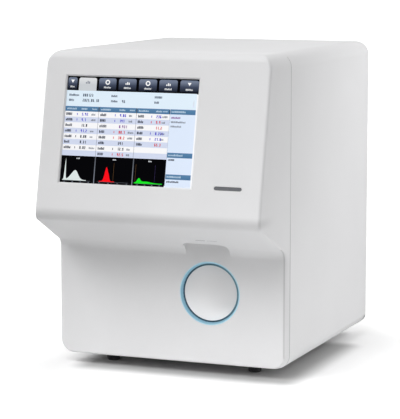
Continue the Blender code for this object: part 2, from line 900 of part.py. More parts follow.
def window_cutter():
    """Return the opening for the screen, with its chamfered edge."""
    rings = []
    for depth, grow in ((-OVERRUN, WINDOW_CHAMFER + OVERRUN), (WINDOW_CHAMFER, 0.0), (COVER_WALL + OVERRUN, 0.0)):
        across = centred(WINDOW_X, WINDOW_WIDTH + grow * 2)
        along = centred(WINDOW_UP, WINDOW_HEIGHT + grow * 2)
        corners = [(across[0], along[0]), (across[1], along[0]), (across[1], along[1]), (across[0], along[1])]
        rings.append([on_axis("y", u, v, depth) for u, v in corners])
    return on_upper_face(loft(rings))


def slot_outline(grow):
    """Return the status light's slot with round ends."""
    width, height = SLOT_WIDTH + grow * 2, SLOT_HEIGHT + grow * 2
    return rounded_rectangle(centred(SLOT_X, width), centred(SLOT_UP, height), height / 2, 4)


def slit_cutters():
    """Return the two fine slits in the slope above the pocket."""
    meshes = []
    for side in (-1, 1):
        across = centred(SLIT_X + side * SLIT_SPACING / 2, SLIT_LENGTH)
        along = centred(-SLIT_UP, SLIT_HEIGHT)
        slit = block(across, along, (-OVERRUN, COVER_WALL + OVERRUN))
        meshes.append(tilted(slit, SLOPE_TILT, Vector((0.0, 0.0, SLOPE_FOOT))))
    return gathered(meshes)


def build_front_cover(case):
    """The moulded front with its nose, screen window, key bore and probe pocket."""
    cover = piece("front_cover", shell(cover_grid(0.0), cover_grid(COVER_WALL)), cover_white(), case)
    liner = tool_object(
        "front_cover_liner",
        prism(pocket_outline(POCKET_WALL), LINER_FOOT, POCKET_CEILING + POCKET_WALL),
        case,
    )
    keep(liner, cover_core(LINER_SINK))
    combine_with(cover, liner, "UNION")
    cut(
        cover,
        prism(pocket_outline(0.0), LINER_FOOT, POCKET_CEILING),
        rod(PROBE_CLEAR, POCKET_CEILING - OVERRUN, POCKET_CEILING + POCKET_WALL + OVERRUN,
            centre=(POCKET_X, PROBE_Y)),
        window_cutter(),
        on_upper_face(prism(slot_outline(0.0), -OVERRUN, COVER_WALL + OVERRUN, "y")),
        rod(RING_RADIUS + SEAT, -OVERRUN, COVER_WALL + OVERRUN, "y", (KEY_X, KEY_Z), KEY_STEPS),
        slit_cutters(),
    )


def wrap_rows(path):
    """Return the outer and inner skins of a wall that runs back and rounds over at the rear."""
    outer = [(SEAM_Y + SEAT, 0.0)]
    inner = [(SEAM_Y + SEAT, SHEET)]
    for index in range(ARC_STEPS + 1):
        angle = math.pi / 2 * index / ARC_STEPS
        for rows, radius in ((outer, REAR_RADIUS), (inner, REAR_RADIUS - SHEET)):
            rows.append((HINGE_Y + radius * math.sin(angle), REAR_RADIUS - radius * math.cos(angle)))
    skins = []
    for rows in (outer, inner):
        skins.append([[Vector((x, y, z)) for x, z in path(inset)] for y, inset in rows])
    return skins


def cover_path(inset):
    """Return the main cover's section, from above the door over the top and down the left side."""
    radius = EDGE_RADIUS - inset
    side = HALF_WIDTH - EDGE_RADIUS
    top = BODY_HEIGHT - EDGE_RADIUS
    return (
        [(HALF_WIDTH - inset, DOOR_TOP + DOOR_GAP)]
        + arc((side, top), radius, 0, 90)
        + arc((-side, top), radius, 90, 180)
        + arc((-side, EDGE_RADIUS), radius, 180, 270)
    )


def door_path(inset):
    """Return the door's section, from the top of the case down round its lower edge."""
    side = HALF_WIDTH - EDGE_RADIUS
    radius = EDGE_RADIUS - inset
    return arc((side, BODY_HEIGHT - EDGE_RADIUS), radius, 90, 0) + arc((side, EDGE_RADIUS), radius, 0, -90)


def build_main_cover(case):
    """The cover over the top and the left side, cut back along the door but for the corner behind it."""
    outer, inner = wrap_rows(cover_path)
    cover = piece("main_cover", shell(outer, inner), case_white(), case)
    edge = HALF_WIDTH - EDGE_RADIUS - DOOR_GAP
    corner = arc((HINGE_X, HINGE_Y), REAR_RADIUS, -5, -90)
    outline = (
        [(edge, SEAM_Y - OVERRUN), (HALF_WIDTH + OVERRUN, SEAM_Y - OVERRUN), (HALF_WIDTH + OVERRUN, corner[0][1])]
        + corner
        + [(edge, corner[-1][1])]
    )
    cut(cover, prism(outline, DOOR_TOP - OVERRUN, BODY_HEIGHT + OVERRUN))


def build_right_door(case):
    """The service door with the hollow column that turns on the hinge pins."""
    rows = []
    for inset in (0.0, SHEET):
        rows.append([
            [Vector((x, y, z)) for x, z in door_path(inset)] for y in (SEAM_Y + DOOR_GAP, HINGE_Y)
        ])
    door = piece("right_door", shell(*rows), case_white(), case, (HINGE_X, HINGE_Y, 0.0))
    hinge = (HINGE_X, HINGE_Y)
    column = tool_object(
        "right_door_column",
        rod(REAR_RADIUS, COLUMN_FOOT - OVERRUN, DOOR_TOP + OVERRUN, centre=hinge, steps=COLUMN_STEPS),
        case,
    )
    keep(column, case_across())
    combine_with(door, column, "UNION")
    notch = arc(hinge, REAR_RADIUS + DOOR_GAP, -90, 90, COLUMN_STEPS // 2)
    notch += [(HALF_WIDTH - EDGE_RADIUS - OVERRUN, y) for y in (notch[-1][1], notch[0][1])]
    cut(
        door,
        prism(notch, DOOR_TOP, BODY_HEIGHT + OVERRUN),
        rod(REAR_RADIUS + DOOR_GAP, -OVERRUN, COLUMN_FOOT, centre=hinge, steps=COLUMN_STEPS),
        rod(HINGE_BORE, 0.0, DOOR_TOP + OVERRUN, centre=hinge),
    )


def lug_outline():
    """Return the flat lug that runs from a hinge pin to the rear panel."""
    rear = PANEL_FACE - SEAT
    return arc((HINGE_X, HINGE_Y), LUG_RADIUS, -90, 90) + [
        (HINGE_X - REAR_RADIUS, rear),
        (HINGE_X - HINGE_LUG_REACH, rear),
        (HINGE_X - HINGE_LUG_REACH, HINGE_Y - LUG_RADIUS),
    ]


def build_hinge_brackets(case):
    """The two brackets on the rear panel, each with the pin that carries one end of the door."""
    hinge = (HINGE_X, HINGE_Y)
    low = COLUMN_FOOT - SEAT - HINGE_LUG
    high = low + HINGE_LUG
    lower = piece("hinge_bracket_lower", prism(lug_outline(), low, high), sheet_steel(), case)
    side = HINGE_X - REAR_RADIUS
    stub = arc(hinge, REAR_RADIUS, -90, 90, ARC_STEPS * 2) + [(side, HINGE_Y + REAR_RADIUS), (side, HINGE_Y)]
    corner = tool_object("hinge_bracket_lower_corner", prism(stub, 0.0, high), case)
    keep(corner, case_across())
    keep(corner, case_along())
    combine_with(lower, corner, "UNION")
    join(lower, rod(HINGE_PIN, low + HINGE_LUG / 2, high + HINGE_PIN_LENGTH, centre=hinge))
    low = DOOR_TOP + DOOR_GAP
    upper = piece("hinge_bracket_upper", prism(lug_outline(), low, low + HINGE_LUG), sheet_steel(), case)
    join(upper, rod(HINGE_PIN, low - HINGE_PIN_LENGTH, low + HINGE_LUG / 2, centre=hinge))


def case_across():
    """Return a solid as high and wide as the case, with its rounded long edges."""
    envelope = rounded_rectangle((-HALF_WIDTH, HALF_WIDTH), (0.0, BODY_HEIGHT), EDGE_RADIUS, ARC_STEPS)
    return prism(envelope, 0.0, BODY_DEPTH + OVERRUN, "y")


def case_along():
    """Return a solid as high and deep as the case, with its rounded rear edges."""
    envelope = rounded_rectangle((0.0, BODY_DEPTH), (0.0, BODY_HEIGHT), REAR_RADIUS, ARC_STEPS)
    return prism(envelope, -HALF_WIDTH - OVERRUN, HALF_WIDTH + OVERRUN, "x")


def build_rear_panel(case):
    """The flat rear panel with its openings."""
    inner = EDGE_RADIUS - REAR_RADIUS - SEAT
    left = REAR_RADIUS + SEAT - HALF_WIDTH
    low_right = HINGE_X - REAR_RADIUS - DOOR_GAP
    high_right = HINGE_X - SEAT
    bottom = REAR_RADIUS + SEAT
    top = BODY_HEIGHT - REAR_RADIUS - SEAT
    step = DOOR_TOP + DOOR_GAP
    outline = (
        [(low_right, bottom), (low_right, step), (high_right, step)]
        + arc((high_right - inner, top - inner), inner, 0, 90)
        + arc((left + inner, top - inner), inner, 90, 180)
        + arc((left + inner, bottom + inner), inner, 180, 270)
    )
    panel = piece("rear_panel", prism(outline, PANEL_FACE, BODY_DEPTH, "y"), case_white(), case)
    through = (PANEL_FACE - OVERRUN, BODY_DEPTH + OVERRUN)
    openings = [
        rod(FAN_BORE, *through, "y", (FAN_X, FAN_Z), ROUND_STEPS),
        block(centred(INLET_X, INLET_WIDTH + SEAT * 2), through, centred(INLET_Z, INLET_HEIGHT + SEAT * 2)),
        block(centred(DATA_X, DATA_WIDTH + SEAT * 2), through, centred(DATA_Z, DATA_HEIGHT + SEAT * 2)),
    ]
    for x in stations(PORT_X, PORT_SPACING, PORT_COUNT):
        openings.append(rod(PORT_THREAD_RADIUS + SEAT, *through, "y", (x, PORT_Z)))
    cut(panel, gathered(openings))


def build_base_tray(case):
    """The floor of the case, turned up at the rear."""
    front = SEAM_Y + SEAT
    outline = (
        [(front, SHEET), (front, 0.0)]
        + arc((HINGE_Y, REAR_RADIUS), REAR_RADIUS, -90, 0)
        + arc((HINGE_Y, REAR_RADIUS), REAR_RADIUS - SHEET, 0, -90)
    )
    reach = HALF_WIDTH - EDGE_RADIUS - SEAT
    piece("base_tray", prism(outline, -reach, reach, "x"), case_white(), case)


def build_feet(case):
    """Four tapered rubber feet."""
    low = FOOT_RADIUS - FOOT_TAPER
    profile = [
        (low - FOOT_CHAMFER, -FOOT_HEIGHT),
        (low, FOOT_CHAMFER - FOOT_HEIGHT),
        (FOOT_RADIUS, -SEAT),
    ]
    for side, x in (("left", -FOOT_SPREAD / 2), ("right", FOOT_SPREAD / 2)):
        for end, y in (("front", FOOT_FRONT_Y), ("rear", BODY_DEPTH - FOOT_REAR_Y)):
            piece(f"foot_{end}_{side}", turned(profile, centre=(x, y)), black_rubber(), case)


def build_display(face):
    """The touch glass, the display behind it and the bracket that holds both, in the upper face's frame."""
    glass_width, glass_height = WINDOW_WIDTH + GLASS_LAP * 2, WINDOW_HEIGHT + GLASS_LAP * 2
    width, height = WINDOW_WIDTH + MODULE_LAP * 2, WINDOW_HEIGHT + MODULE_LAP * 2
    glass_back = GLASS_FACE + GLASS_THICKNESS
    module_front = glass_back + SEAT
    module_back = module_front + MODULE_THICKNESS
    piece(
        "touch_glass",
        block(centred(WINDOW_X, glass_width), (GLASS_FACE, glass_back), centred(WINDOW_UP, glass_height)),
        screen_glass(),
        face,
    )
    module = piece(
        "display_module",
        block(centred(WINDOW_X, width), (module_front, module_back), centred(WINDOW_UP, height)),
        sheet_steel(),
        face,
    )
    recess = (module_back - BRACKET_WALL, module_back + OVERRUN)
    cut(module, block(centred(WINDOW_X, BRACKET_VENT_WIDTH), recess, centred(WINDOW_UP, BRACKET_VENT_HEIGHT)))
    room = SEAT * 2
    tray = room + BRACKET_WALL * 2
    tray_back = module_back + SEAT + BRACKET_WALL
    bracket = piece(
        "display_bracket",
        block(
            centred(WINDOW_X, width + tray + BRACKET_FLANGE * 2),
            (GLASS_FACE, GLASS_FACE + BRACKET_WALL),
            centred(WINDOW_UP, height + tray + BRACKET_FLANGE * 2),
        ),
        sheet_steel(),
        face,
    )
    join(bracket, block(
        centred(WINDOW_X, width + tray),
        (GLASS_FACE + BRACKET_WALL / 2, tray_back),
        centred(WINDOW_UP, height + tray),
    ))
    cut(
        bracket,
        block(
            centred(WINDOW_X, width + room),
            (GLASS_FACE - OVERRUN, module_back + SEAT),
            centred(WINDOW_UP, height + room),
        ),
        block(
            centred(WINDOW_X, BRACKET_VENT_WIDTH),
            (module_back - BRACKET_WALL, tray_back + OVERRUN),
            centred(WINDOW_UP, BRACKET_VENT_HEIGHT),
        ),
    )


def build_status_lens(face):
    """The light guide in the slot beside the screen."""
    lens = piece("status_lens", prism(slot_outline(-SEAT), LENS_SET, LENS_DEPTH, "y"), grey_plastic(), face)
    join(lens, prism(slot_outline(LENS_FLANGE), GLASS_FACE, (GLASS_FACE + LENS_DEPTH) / 2, "y"))


def build_key(case):
    """The round aspirate key with its light ring, guide, spring and switch."""
    centre = (KEY_X, KEY_Z)
    flange = RING_RADIUS + RING_FLANGE
    piece("key_ring", turned([
        (RING_RADIUS, 0.0),
        (RING_RADIUS, COVER_WALL + SEAT),
        (flange, COVER_WALL + SEAT),
        (flange, RING_DEPTH),
        (RING_INNER, RING_DEPTH),
        (RING_INNER, KEY_FACE),
        (RING_RADIUS - RING_LIP, 0.0),
    ], "y", centre, KEY_STEPS, hollow=True), ring_blue(), case)
    back = KEY_FACE + KEY_THICKNESS
    piece("aspirate_key", turned([
        (0.0, KEY_FACE + KEY_DISH),
        (KEY_RADIUS / 2, KEY_FACE + KEY_DISH * 3 / 4),
        (KEY_RADIUS - KEY_RIM, KEY_FACE),
        (KEY_RADIUS, KEY_FACE + KEY_RIM / 2),
        (KEY_RADIUS, back),
        (STEM_RADIUS, back),
        (STEM_RADIUS, back + STEM_LENGTH),
        (0.0, back + STEM_LENGTH),
    ], "y", centre, KEY_STEPS), key_white(), case, (KEY_X, KEY_FACE, KEY_Z))
    bore = STEM_RADIUS + SEAT
    outer = GUIDE_INNER + GUIDE_WALL
    floor_back = GUIDE_FLOOR + GUIDE_FLOOR_THICKNESS
    sleeve_end = floor_back + SLEEVE_LENGTH
    sleeve = bore + SLEEVE_WALL
    piece("key_guide", turned([
        (bore, GUIDE_FLOOR),
        (GUIDE_INNER, GUIDE_FLOOR),
        (GUIDE_INNER, RING_DEPTH + SEAT),
        (outer, RING_DEPTH + SEAT),
        (outer, floor_back),
        (sleeve, floor_back),
        (sleeve, sleeve_end),
        (bore, sleeve_end),
    ], "y", centre, ROUND_STEPS, hollow=True), grey_plastic(), case)
    piece("key_spring", coil(centre, back + SEAT, GUIDE_FLOOR - SEAT), bright_steel(), case)
    build_key_switch(case, sleeve_end + SEAT, back + STEM_LENGTH + KEY_TRAVEL + SEAT)


def coil(centre, low, high):
    """Return a round wire spring about the y axis between two depths."""
    points_per_turn = 10
    total = SPRING_TURNS * points_per_turn
    start, end = low + SPRING_WIRE, high - SPRING_WIRE
    rings = []
    for index in range(total + 1):
        angle = math.tau * index / points_per_turn
        depth = start + (end - start) * index / total
        ring = []
        for radial, axial in circle(SPRING_WIRE, 5):
            radius = SPRING_RADIUS + radial
            x = centre[0] + radius * math.cos(angle)
            z = centre[1] + radius * math.sin(angle)
            ring.append(Vector((x, depth + axial, z)))
        rings.append(ring)
    return loft(rings)


def build_key_switch(case, leg_front, nub_front):
    """The switch behind the key's stem, on two legs that stand on the guide's sleeve."""
    body_front = nub_front + SWITCH_NUB_LENGTH
    body = block(
        centred(KEY_X, SWITCH_WIDTH),
        (body_front, body_front + SWITCH_DEPTH),
        centred(KEY_Z, SWITCH_HEIGHT),
    )
    switch = piece("key_switch", body, dark_plastic(), case)
    inner = STEM_RADIUS + RUNNING_GAP
    legs = [
        block(
            sorted((KEY_X + side * inner, KEY_X + side * (inner + SWITCH_LEG))),
            (leg_front, body_front + SWITCH_LEG),
            centred(KEY_Z, SWITCH_LEG_HEIGHT),
        )
        for side in (-1, 1)
    ]
    nub = rod(SWITCH_NUB_RADIUS, nub_front, body_front + SWITCH_LEG, "y", (KEY_X, KEY_Z))
    join(switch, gathered(legs), nub)


def build_mid_wall(case):
    """The sheet wall that carries the units, with flanges on the floor and under the top."""
    low, high = FLOOR_Z, BODY_HEIGHT - SHEET - SEAT
    flange = WALL_LEFT - WALL_FLANGE
    outline = [
        (WALL_RIGHT, low),
        (WALL_RIGHT, high),
        (flange, high),
        (flange, high - WALL_THICKNESS),
        (WALL_LEFT, high - WALL_THICKNESS),
        (WALL_LEFT, low + WALL_THICKNESS),
        (flange, low + WALL_THICKNESS),
        (flange, low),
    ]
    wall = piece("mid_wall", prism(outline, WALL_FRONT, HINGE_Y - SEAT, "y"), sheet_steel(), case)
    hole = rod(MOTOR_BOSS_RADIUS + SEAT, WALL_LEFT - OVERRUN, WALL_RIGHT + OVERRUN, "x",
               (PULLEY_REAR_Y, PULLEY_Z))
    cut(wall, hole)


def build_sampling_frame(case):
    """The bracket on the wall, with the rails, the belt and its pulleys."""
    left = WALL_RIGHT + SEAT
    face = left + FRAME_SHEET
    tall = (FRAME_LOW, FRAME_HIGH)
    frame_plate = piece(
        "sampling_frame",
        block((left, face), (FRAME_FRONT, FRAME_REAR), tall),
        sheet_steel(),
        case,
    )
    ends = [
        block((left + FRAME_SHEET / 2, left + FRAME_FLANGE), (FRAME_FRONT, FRAME_FRONT + FRAME_SHEET), tall),
        block((left + FRAME_SHEET / 2, left + FRAME_FLANGE), (FRAME_REAR - FRAME_SHEET, FRAME_REAR), tall),
    ]
    rails = (("rail_upper", RAIL_TOP), ("rail_lower", RAIL_BOTTOM))
    reach = (FRAME_FRONT - RAIL_OVERHANG, FRAME_REAR + RAIL_OVERHANG)
    join(frame_plate, gathered(ends))
    join(frame_plate, rod(PULLEY_SHAFT - SEAT, left + FRAME_SHEET / 2, pulley_reach()[1] + OVERRUN, "x",
                          (PULLEY_FRONT_Y, PULLEY_Z)))
    holes = [rod(RAIL_RADIUS + SEAT, reach[0], reach[1], "y", (RAIL_X, z)) for _, z in rails]
    holes.append(rod(MOTOR_BOSS_RADIUS, left - OVERRUN, face + OVERRUN, "x", (PULLEY_REAR_Y, PULLEY_Z)))
    cut(frame_plate, gathered(holes))
    for name, z in rails:
        piece(name, rod(RAIL_RADIUS, reach[0], reach[1], "y", (RAIL_X, z), SMALL_STEPS), bright_steel(), case)
    build_pulleys(case)


def pulley_reach():
    """Return where a pulley lies along x."""
    start = WALL_X + PULLEY_START
    return (start, start + PULLEY_WIDTH)


def pulley_profile(bore):
    """Return a flanged pulley's section, with the bore of its idler or none."""
    low, high = pulley_reach()
    rim = PULLEY_RADIUS + PULLEY_RIM
    return [
        (bore, low),
        (rim, low),
        (rim, low + PULLEY_RIM_WIDTH),
        (PULLEY_RADIUS, low + PULLEY_RIM_WIDTH),
        (PULLEY_RADIUS, high - PULLEY_RIM_WIDTH),
        (rim, high - PULLEY_RIM_WIDTH),
        (rim, high),
        (bore, high),
    ]


def build_pulleys(case):
    """The driven pulley on its shaft, the idler, the belt and the motor behind the wall."""
    driven = (PULLEY_REAR_Y, PULLEY_Z)
    idler = (PULLEY_FRONT_Y, PULLEY_Z)
    low, high = pulley_reach()
    shaft_start = WALL_LEFT - SEAT
    profile = [(0.0, shaft_start), (PULLEY_SHAFT, shaft_start), (PULLEY_SHAFT, low)]
    profile += pulley_profile(PULLEY_SHAFT)[1:-1] + [(0.0, high)]
    piece("drive_pulley", turned(profile, "x", driven, BATH_STEPS), aluminium(), case, (low, *driven))
    piece("idler_pulley", turned(pulley_profile(PULLEY_SHAFT), "x", idler, BATH_STEPS, hollow=True),
          aluminium(), case, (low, *idler))
    inner = PULLEY_RADIUS + SEAT
    outer = inner + BELT_THICKNESS
    middle = (low + high) / 2
    rings = []
    for x, radius in (
        (middle - BELT_WIDTH / 2, inner),
        (middle - BELT_WIDTH / 2, outer),
        (middle + BELT_WIDTH / 2, outer),
        (middle + BELT_WIDTH / 2, inner),
    ):
        loop = arc(idler, radius, 90, 270, SMALL_STEPS) + arc(driven, radius, -90, 90, SMALL_STEPS)
        rings.append([on_axis("x", y, z, x) for y, z in loop])
    piece("sampling_belt", loft(rings, closed=True), belt_black(), case)
    face = WALL_LEFT - SEAT
    motor = piece(
        "sampling_motor",
        motor_body("x", driven, SAMPLE_MOTOR_WIDTH, face - SAMPLE_MOTOR_LENGTH, face),
        dark_plastic(),
        case,
    )
    recess = rod(PULLEY_SHAFT + SEAT, shaft_start - SEAT, face + OVERRUN, "x", driven)
    cut(motor, recess)


def motor_body(axis, centre, width, low, high):
    """Return a square stepping motor with cut corners."""
    outline = rounded_rectangle(centred(centre[0], width), centred(centre[1], width), MOTOR_CORNER, 1)
    return prism(outline, low, high, axis)


def build_carriage(case):
    """The carriage on the rails with its shelves, lift motor, screw, rod, arm, probe and wipe."""
    origin = (RAIL_X, BLOCK_FRONT, RAIL_TOP)
    along = (BLOCK_FRONT, BLOCK_FRONT + BLOCK_LENGTH)
    carriage = piece(
        "carriage",
        block((BLOCK_LEFT, BLOCK_RIGHT), along, (BLOCK_LOW, BLOCK_HIGH)),
        aluminium(),
        case,
        origin,
    )
    plate_x = (BLOCK_RIGHT - SHELF_THICKNESS / 2, BLOCK_RIGHT + PLATE_THICKNESS)
    shelf_x = (BLOCK_RIGHT + PLATE_THICKNESS / 2, BLOCK_RIGHT + PLATE_THICKNESS + SHELF_REACH)
    plate_y = (PLATE_FRONT, along[1])
    join(
        carriage,
        block(plate_x, plate_y, (PLATE_LOW, PLATE_HIGH)),
        gathered([
            block(shelf_x, plate_y, (PLATE_LOW, PLATE_LOW + SHELF_THICKNESS)),
            block(shelf_x, plate_y, (PLATE_HIGH - SHELF_THICKNESS, PLATE_HIGH)),
        ]),
        belt_clamp(along),
    )
    holes = [rod(RAIL_RADIUS + SEAT, along[0] - OVERRUN, along[1] + OVERRUN, "y", (RAIL_X, z))
             for z in (RAIL_TOP, RAIL_BOTTOM)]
    holes.append(rod(PROBE_CLEAR, PLATE_LOW - OVERRUN, PLATE_LOW + SHELF_THICKNESS + OVERRUN,
                     centre=(POCKET_X, PROBE_Y)))
    holes.append(rod(LIFT_SCREW_RADIUS + SEAT, PLATE_HIGH - SHELF_THICKNESS - OVERRUN, PLATE_HIGH + OVERRUN,
                     centre=(LIFT_SCREW_X, LIFT_SCREW_Y)))
    cut(carriage, gathered(holes))
    build_lift(carriage)


def belt_clamp(along):
    """Return the tab that reaches under the belt's upper run."""
    low, high = pulley_reach()
    inner = PULLEY_RADIUS + SEAT
    top = PULLEY_Z + inner - SEAT
    return block(
        ((low + high) / 2, BLOCK_LEFT + CLAMP_REACH),
        (along[1] - CLAMP_WIDTH, along[1]),
        (top - CLAMP_THICKNESS, top),
    )


def build_lift(carriage):
    """The lift on the carriage: motor, screw, rod, arm, probe and wipe."""
    low = PLATE_LOW + SHELF_THICKNESS + SEAT
    high = PLATE_HIGH - SHELF_THICKNESS
    screw = (LIFT_SCREW_X, LIFT_SCREW_Y)
    rod_place = (LIFT_ROD_X, LIFT_SCREW_Y)
    piece("lift_screw", rod(LIFT_SCREW_RADIUS, low, PLATE_HIGH, centre=screw), bright_steel(), carriage,
          (*screw, low))
    piece("lift_rod", rod(LIFT_ROD_RADIUS, low, high - SEAT, centre=rod_place), bright_steel(), carriage)
    piece(
        "lift_motor",
        motor_body("z", (LIFT_SCREW_X + MOTOR_CORNER, LIFT_SCREW_Y), LIFT_MOTOR_WIDTH, PLATE_HIGH + SEAT,
                   PLATE_HIGH + SEAT + LIFT_MOTOR_HEIGHT),
        dark_plastic(),
        carriage,
    )
    arm_top = high - ARM_DROP
    arm_low = arm_top - ARM_THICKNESS
    arm_outline = [
        (LIFT_SCREW_X - ARM_MARGIN, LIFT_SCREW_Y + ARM_MARGIN),
        (LIFT_SCREW_X - ARM_MARGIN, LIFT_SCREW_Y - ARM_MARGIN),
        (POCKET_X - ARM_MARGIN, PROBE_Y),
        (POCKET_X - ARM_MARGIN, PROBE_Y - ARM_MARGIN),
        (POCKET_X + ARM_MARGIN, PROBE_Y - ARM_MARGIN),
        (POCKET_X + ARM_MARGIN, PROBE_Y),
        (LIFT_ROD_X + ARM_MARGIN, LIFT_SCREW_Y - ARM_MARGIN),
        (LIFT_ROD_X + ARM_MARGIN, LIFT_SCREW_Y + ARM_MARGIN),
    ]
    arm = piece("probe_arm", prism(arm_outline, arm_low, arm_top), grey_plastic(), carriage,
                (*screw, arm_low))
    through = (arm_low - OVERRUN, arm_top + OVERRUN)
    cut(arm, gathered([
        rod(LIFT_SCREW_RADIUS + SEAT, *through, centre=screw),
        rod(LIFT_ROD_RADIUS + SEAT, *through, centre=rod_place),
        rod(PROBE_SLEEVE + SEAT, *through, centre=(POCKET_X, PROBE_Y)),
    ]))
    tip = POCKET_CEILING + POCKET_WALL + SEAT
    sleeve_low = arm_low - PROBE_SLEEVE_LENGTH / 2
    piece("sample_probe", turned([
        (0.0, tip),
        (PROBE_RADIUS, tip + PROBE_BEVEL),
        (PROBE_RADIUS, sleeve_low),
        (PROBE_SLEEVE, sleeve_low),
        (PROBE_SLEEVE, arm_top + PROBE_SLEEVE),
        (0.0, arm_top + PROBE_SLEEVE),
    ], centre=(POCKET_X, PROBE_Y), steps=SMALL_STEPS), bright_steel(), arm)
    wipe_low = low
    bore = PROBE_RADIUS + SEAT
    piece("probe_wipe", turned([
        (bore, wipe_low - WIPE_NOSE),
        (PROBE_CLEAR - SEAT, wipe_low - WIPE_NOSE),
        (PROBE_CLEAR - SEAT, wipe_low),
        (WIPE_RADIUS, wipe_low),
        (WIPE_RADIUS, wipe_low + WIPE_HEIGHT),
        (bore, wipe_low + WIPE_HEIGHT),
    ], centre=(POCKET_X, PROBE_Y), steps=SMALL_STEPS, hollow=True), clear_plastic(), carriage)


def bath_places():
    """Return the two baths' names and their places along y, the white cell bath under the rear stop."""
    rear = PROBE_Y + SAMPLE_TRAVEL
    return (("wbc_bath", rear), ("rbc_bath", rear - BATH_SPACING))


def build_baths(case):
    """The two counting baths in their shelf and the waste chamber beside them."""
    left = WALL_RIGHT + SEAT
    low_y, high_y = bath_places()[1][1] - BATH_SHELF_MARGIN, bath_places()[0][1] + BATH_SHELF_MARGIN
    shelf_top = BATH_SHELF_Z + BATH_SHELF
    shelf = piece(
        "bath_shelf",
        block((left, left + BATH_SHELF_REACH), (low_y, high_y), (BATH_SHELF_Z, shelf_top)),
        sheet_steel(),
        case,
    )
    join(shelf, block((left, left + BATH_SHELF), (low_y, high_y), (BATH_SHELF_Z - BATH_SHELF_FLANGE, shelf_top
                                                                    - BATH_SHELF / 2)))
    cut(shelf, gathered([
        rod(BATH_RADIUS + SEAT, BATH_SHELF_Z - OVERRUN, shelf_top + OVERRUN, "z", (POCKET_X, y), ROUND_STEPS)
        for _, y in bath_places()
    ]))
    collar_low = shelf_top + SEAT
    bore = BATH_RADIUS - BATH_WALL
    floor = BATH_TOP - BATH_DEPTH
    drain = floor - BATH_CONE
    for name, y in bath_places():
        piece(name, turned([
            (BATH_DRAIN_BORE, drain - BATH_DRAIN_LENGTH),
            (BATH_DRAIN_RADIUS, drain - BATH_DRAIN_LENGTH),
            (BATH_DRAIN_RADIUS, drain),
            (BATH_RADIUS, floor),
            (BATH_RADIUS, collar_low),
            (BATH_RADIUS + BATH_COLLAR, collar_low),
            (BATH_RADIUS + BATH_COLLAR, collar_low + BATH_COLLAR_HEIGHT),
            (BATH_RADIUS, collar_low + BATH_COLLAR_HEIGHT),
            (BATH_RADIUS, BATH_TOP),
            (bore, BATH_TOP),
            (bore, floor),
            (BATH_DRAIN_BORE, drain + BATH_WALL),
        ], centre=(POCKET_X, y), steps=BATH_STEPS, hollow=True), clear_plastic(), case)
    shoulder = FLOOR_Z + WASTE_HEIGHT
    piece("waste_chamber", turned([
        (0.0, FLOOR_Z),
        (WASTE_RADIUS, FLOOR_Z),
        (WASTE_RADIUS, shoulder - WASTE_CAP),
        (WASTE_RADIUS + WASTE_CAP_RIM, shoulder - WASTE_CAP),
        (WASTE_RADIUS + WASTE_CAP_RIM, shoulder),
        (WASTE_NIPPLE, shoulder),
        (WASTE_NIPPLE, shoulder + WASTE_NIPPLE_HEIGHT),
        (0.0, shoulder + WASTE_NIPPLE_HEIGHT),
    ], centre=(WASTE_X, WASTE_Y)), clear_plastic(), case)


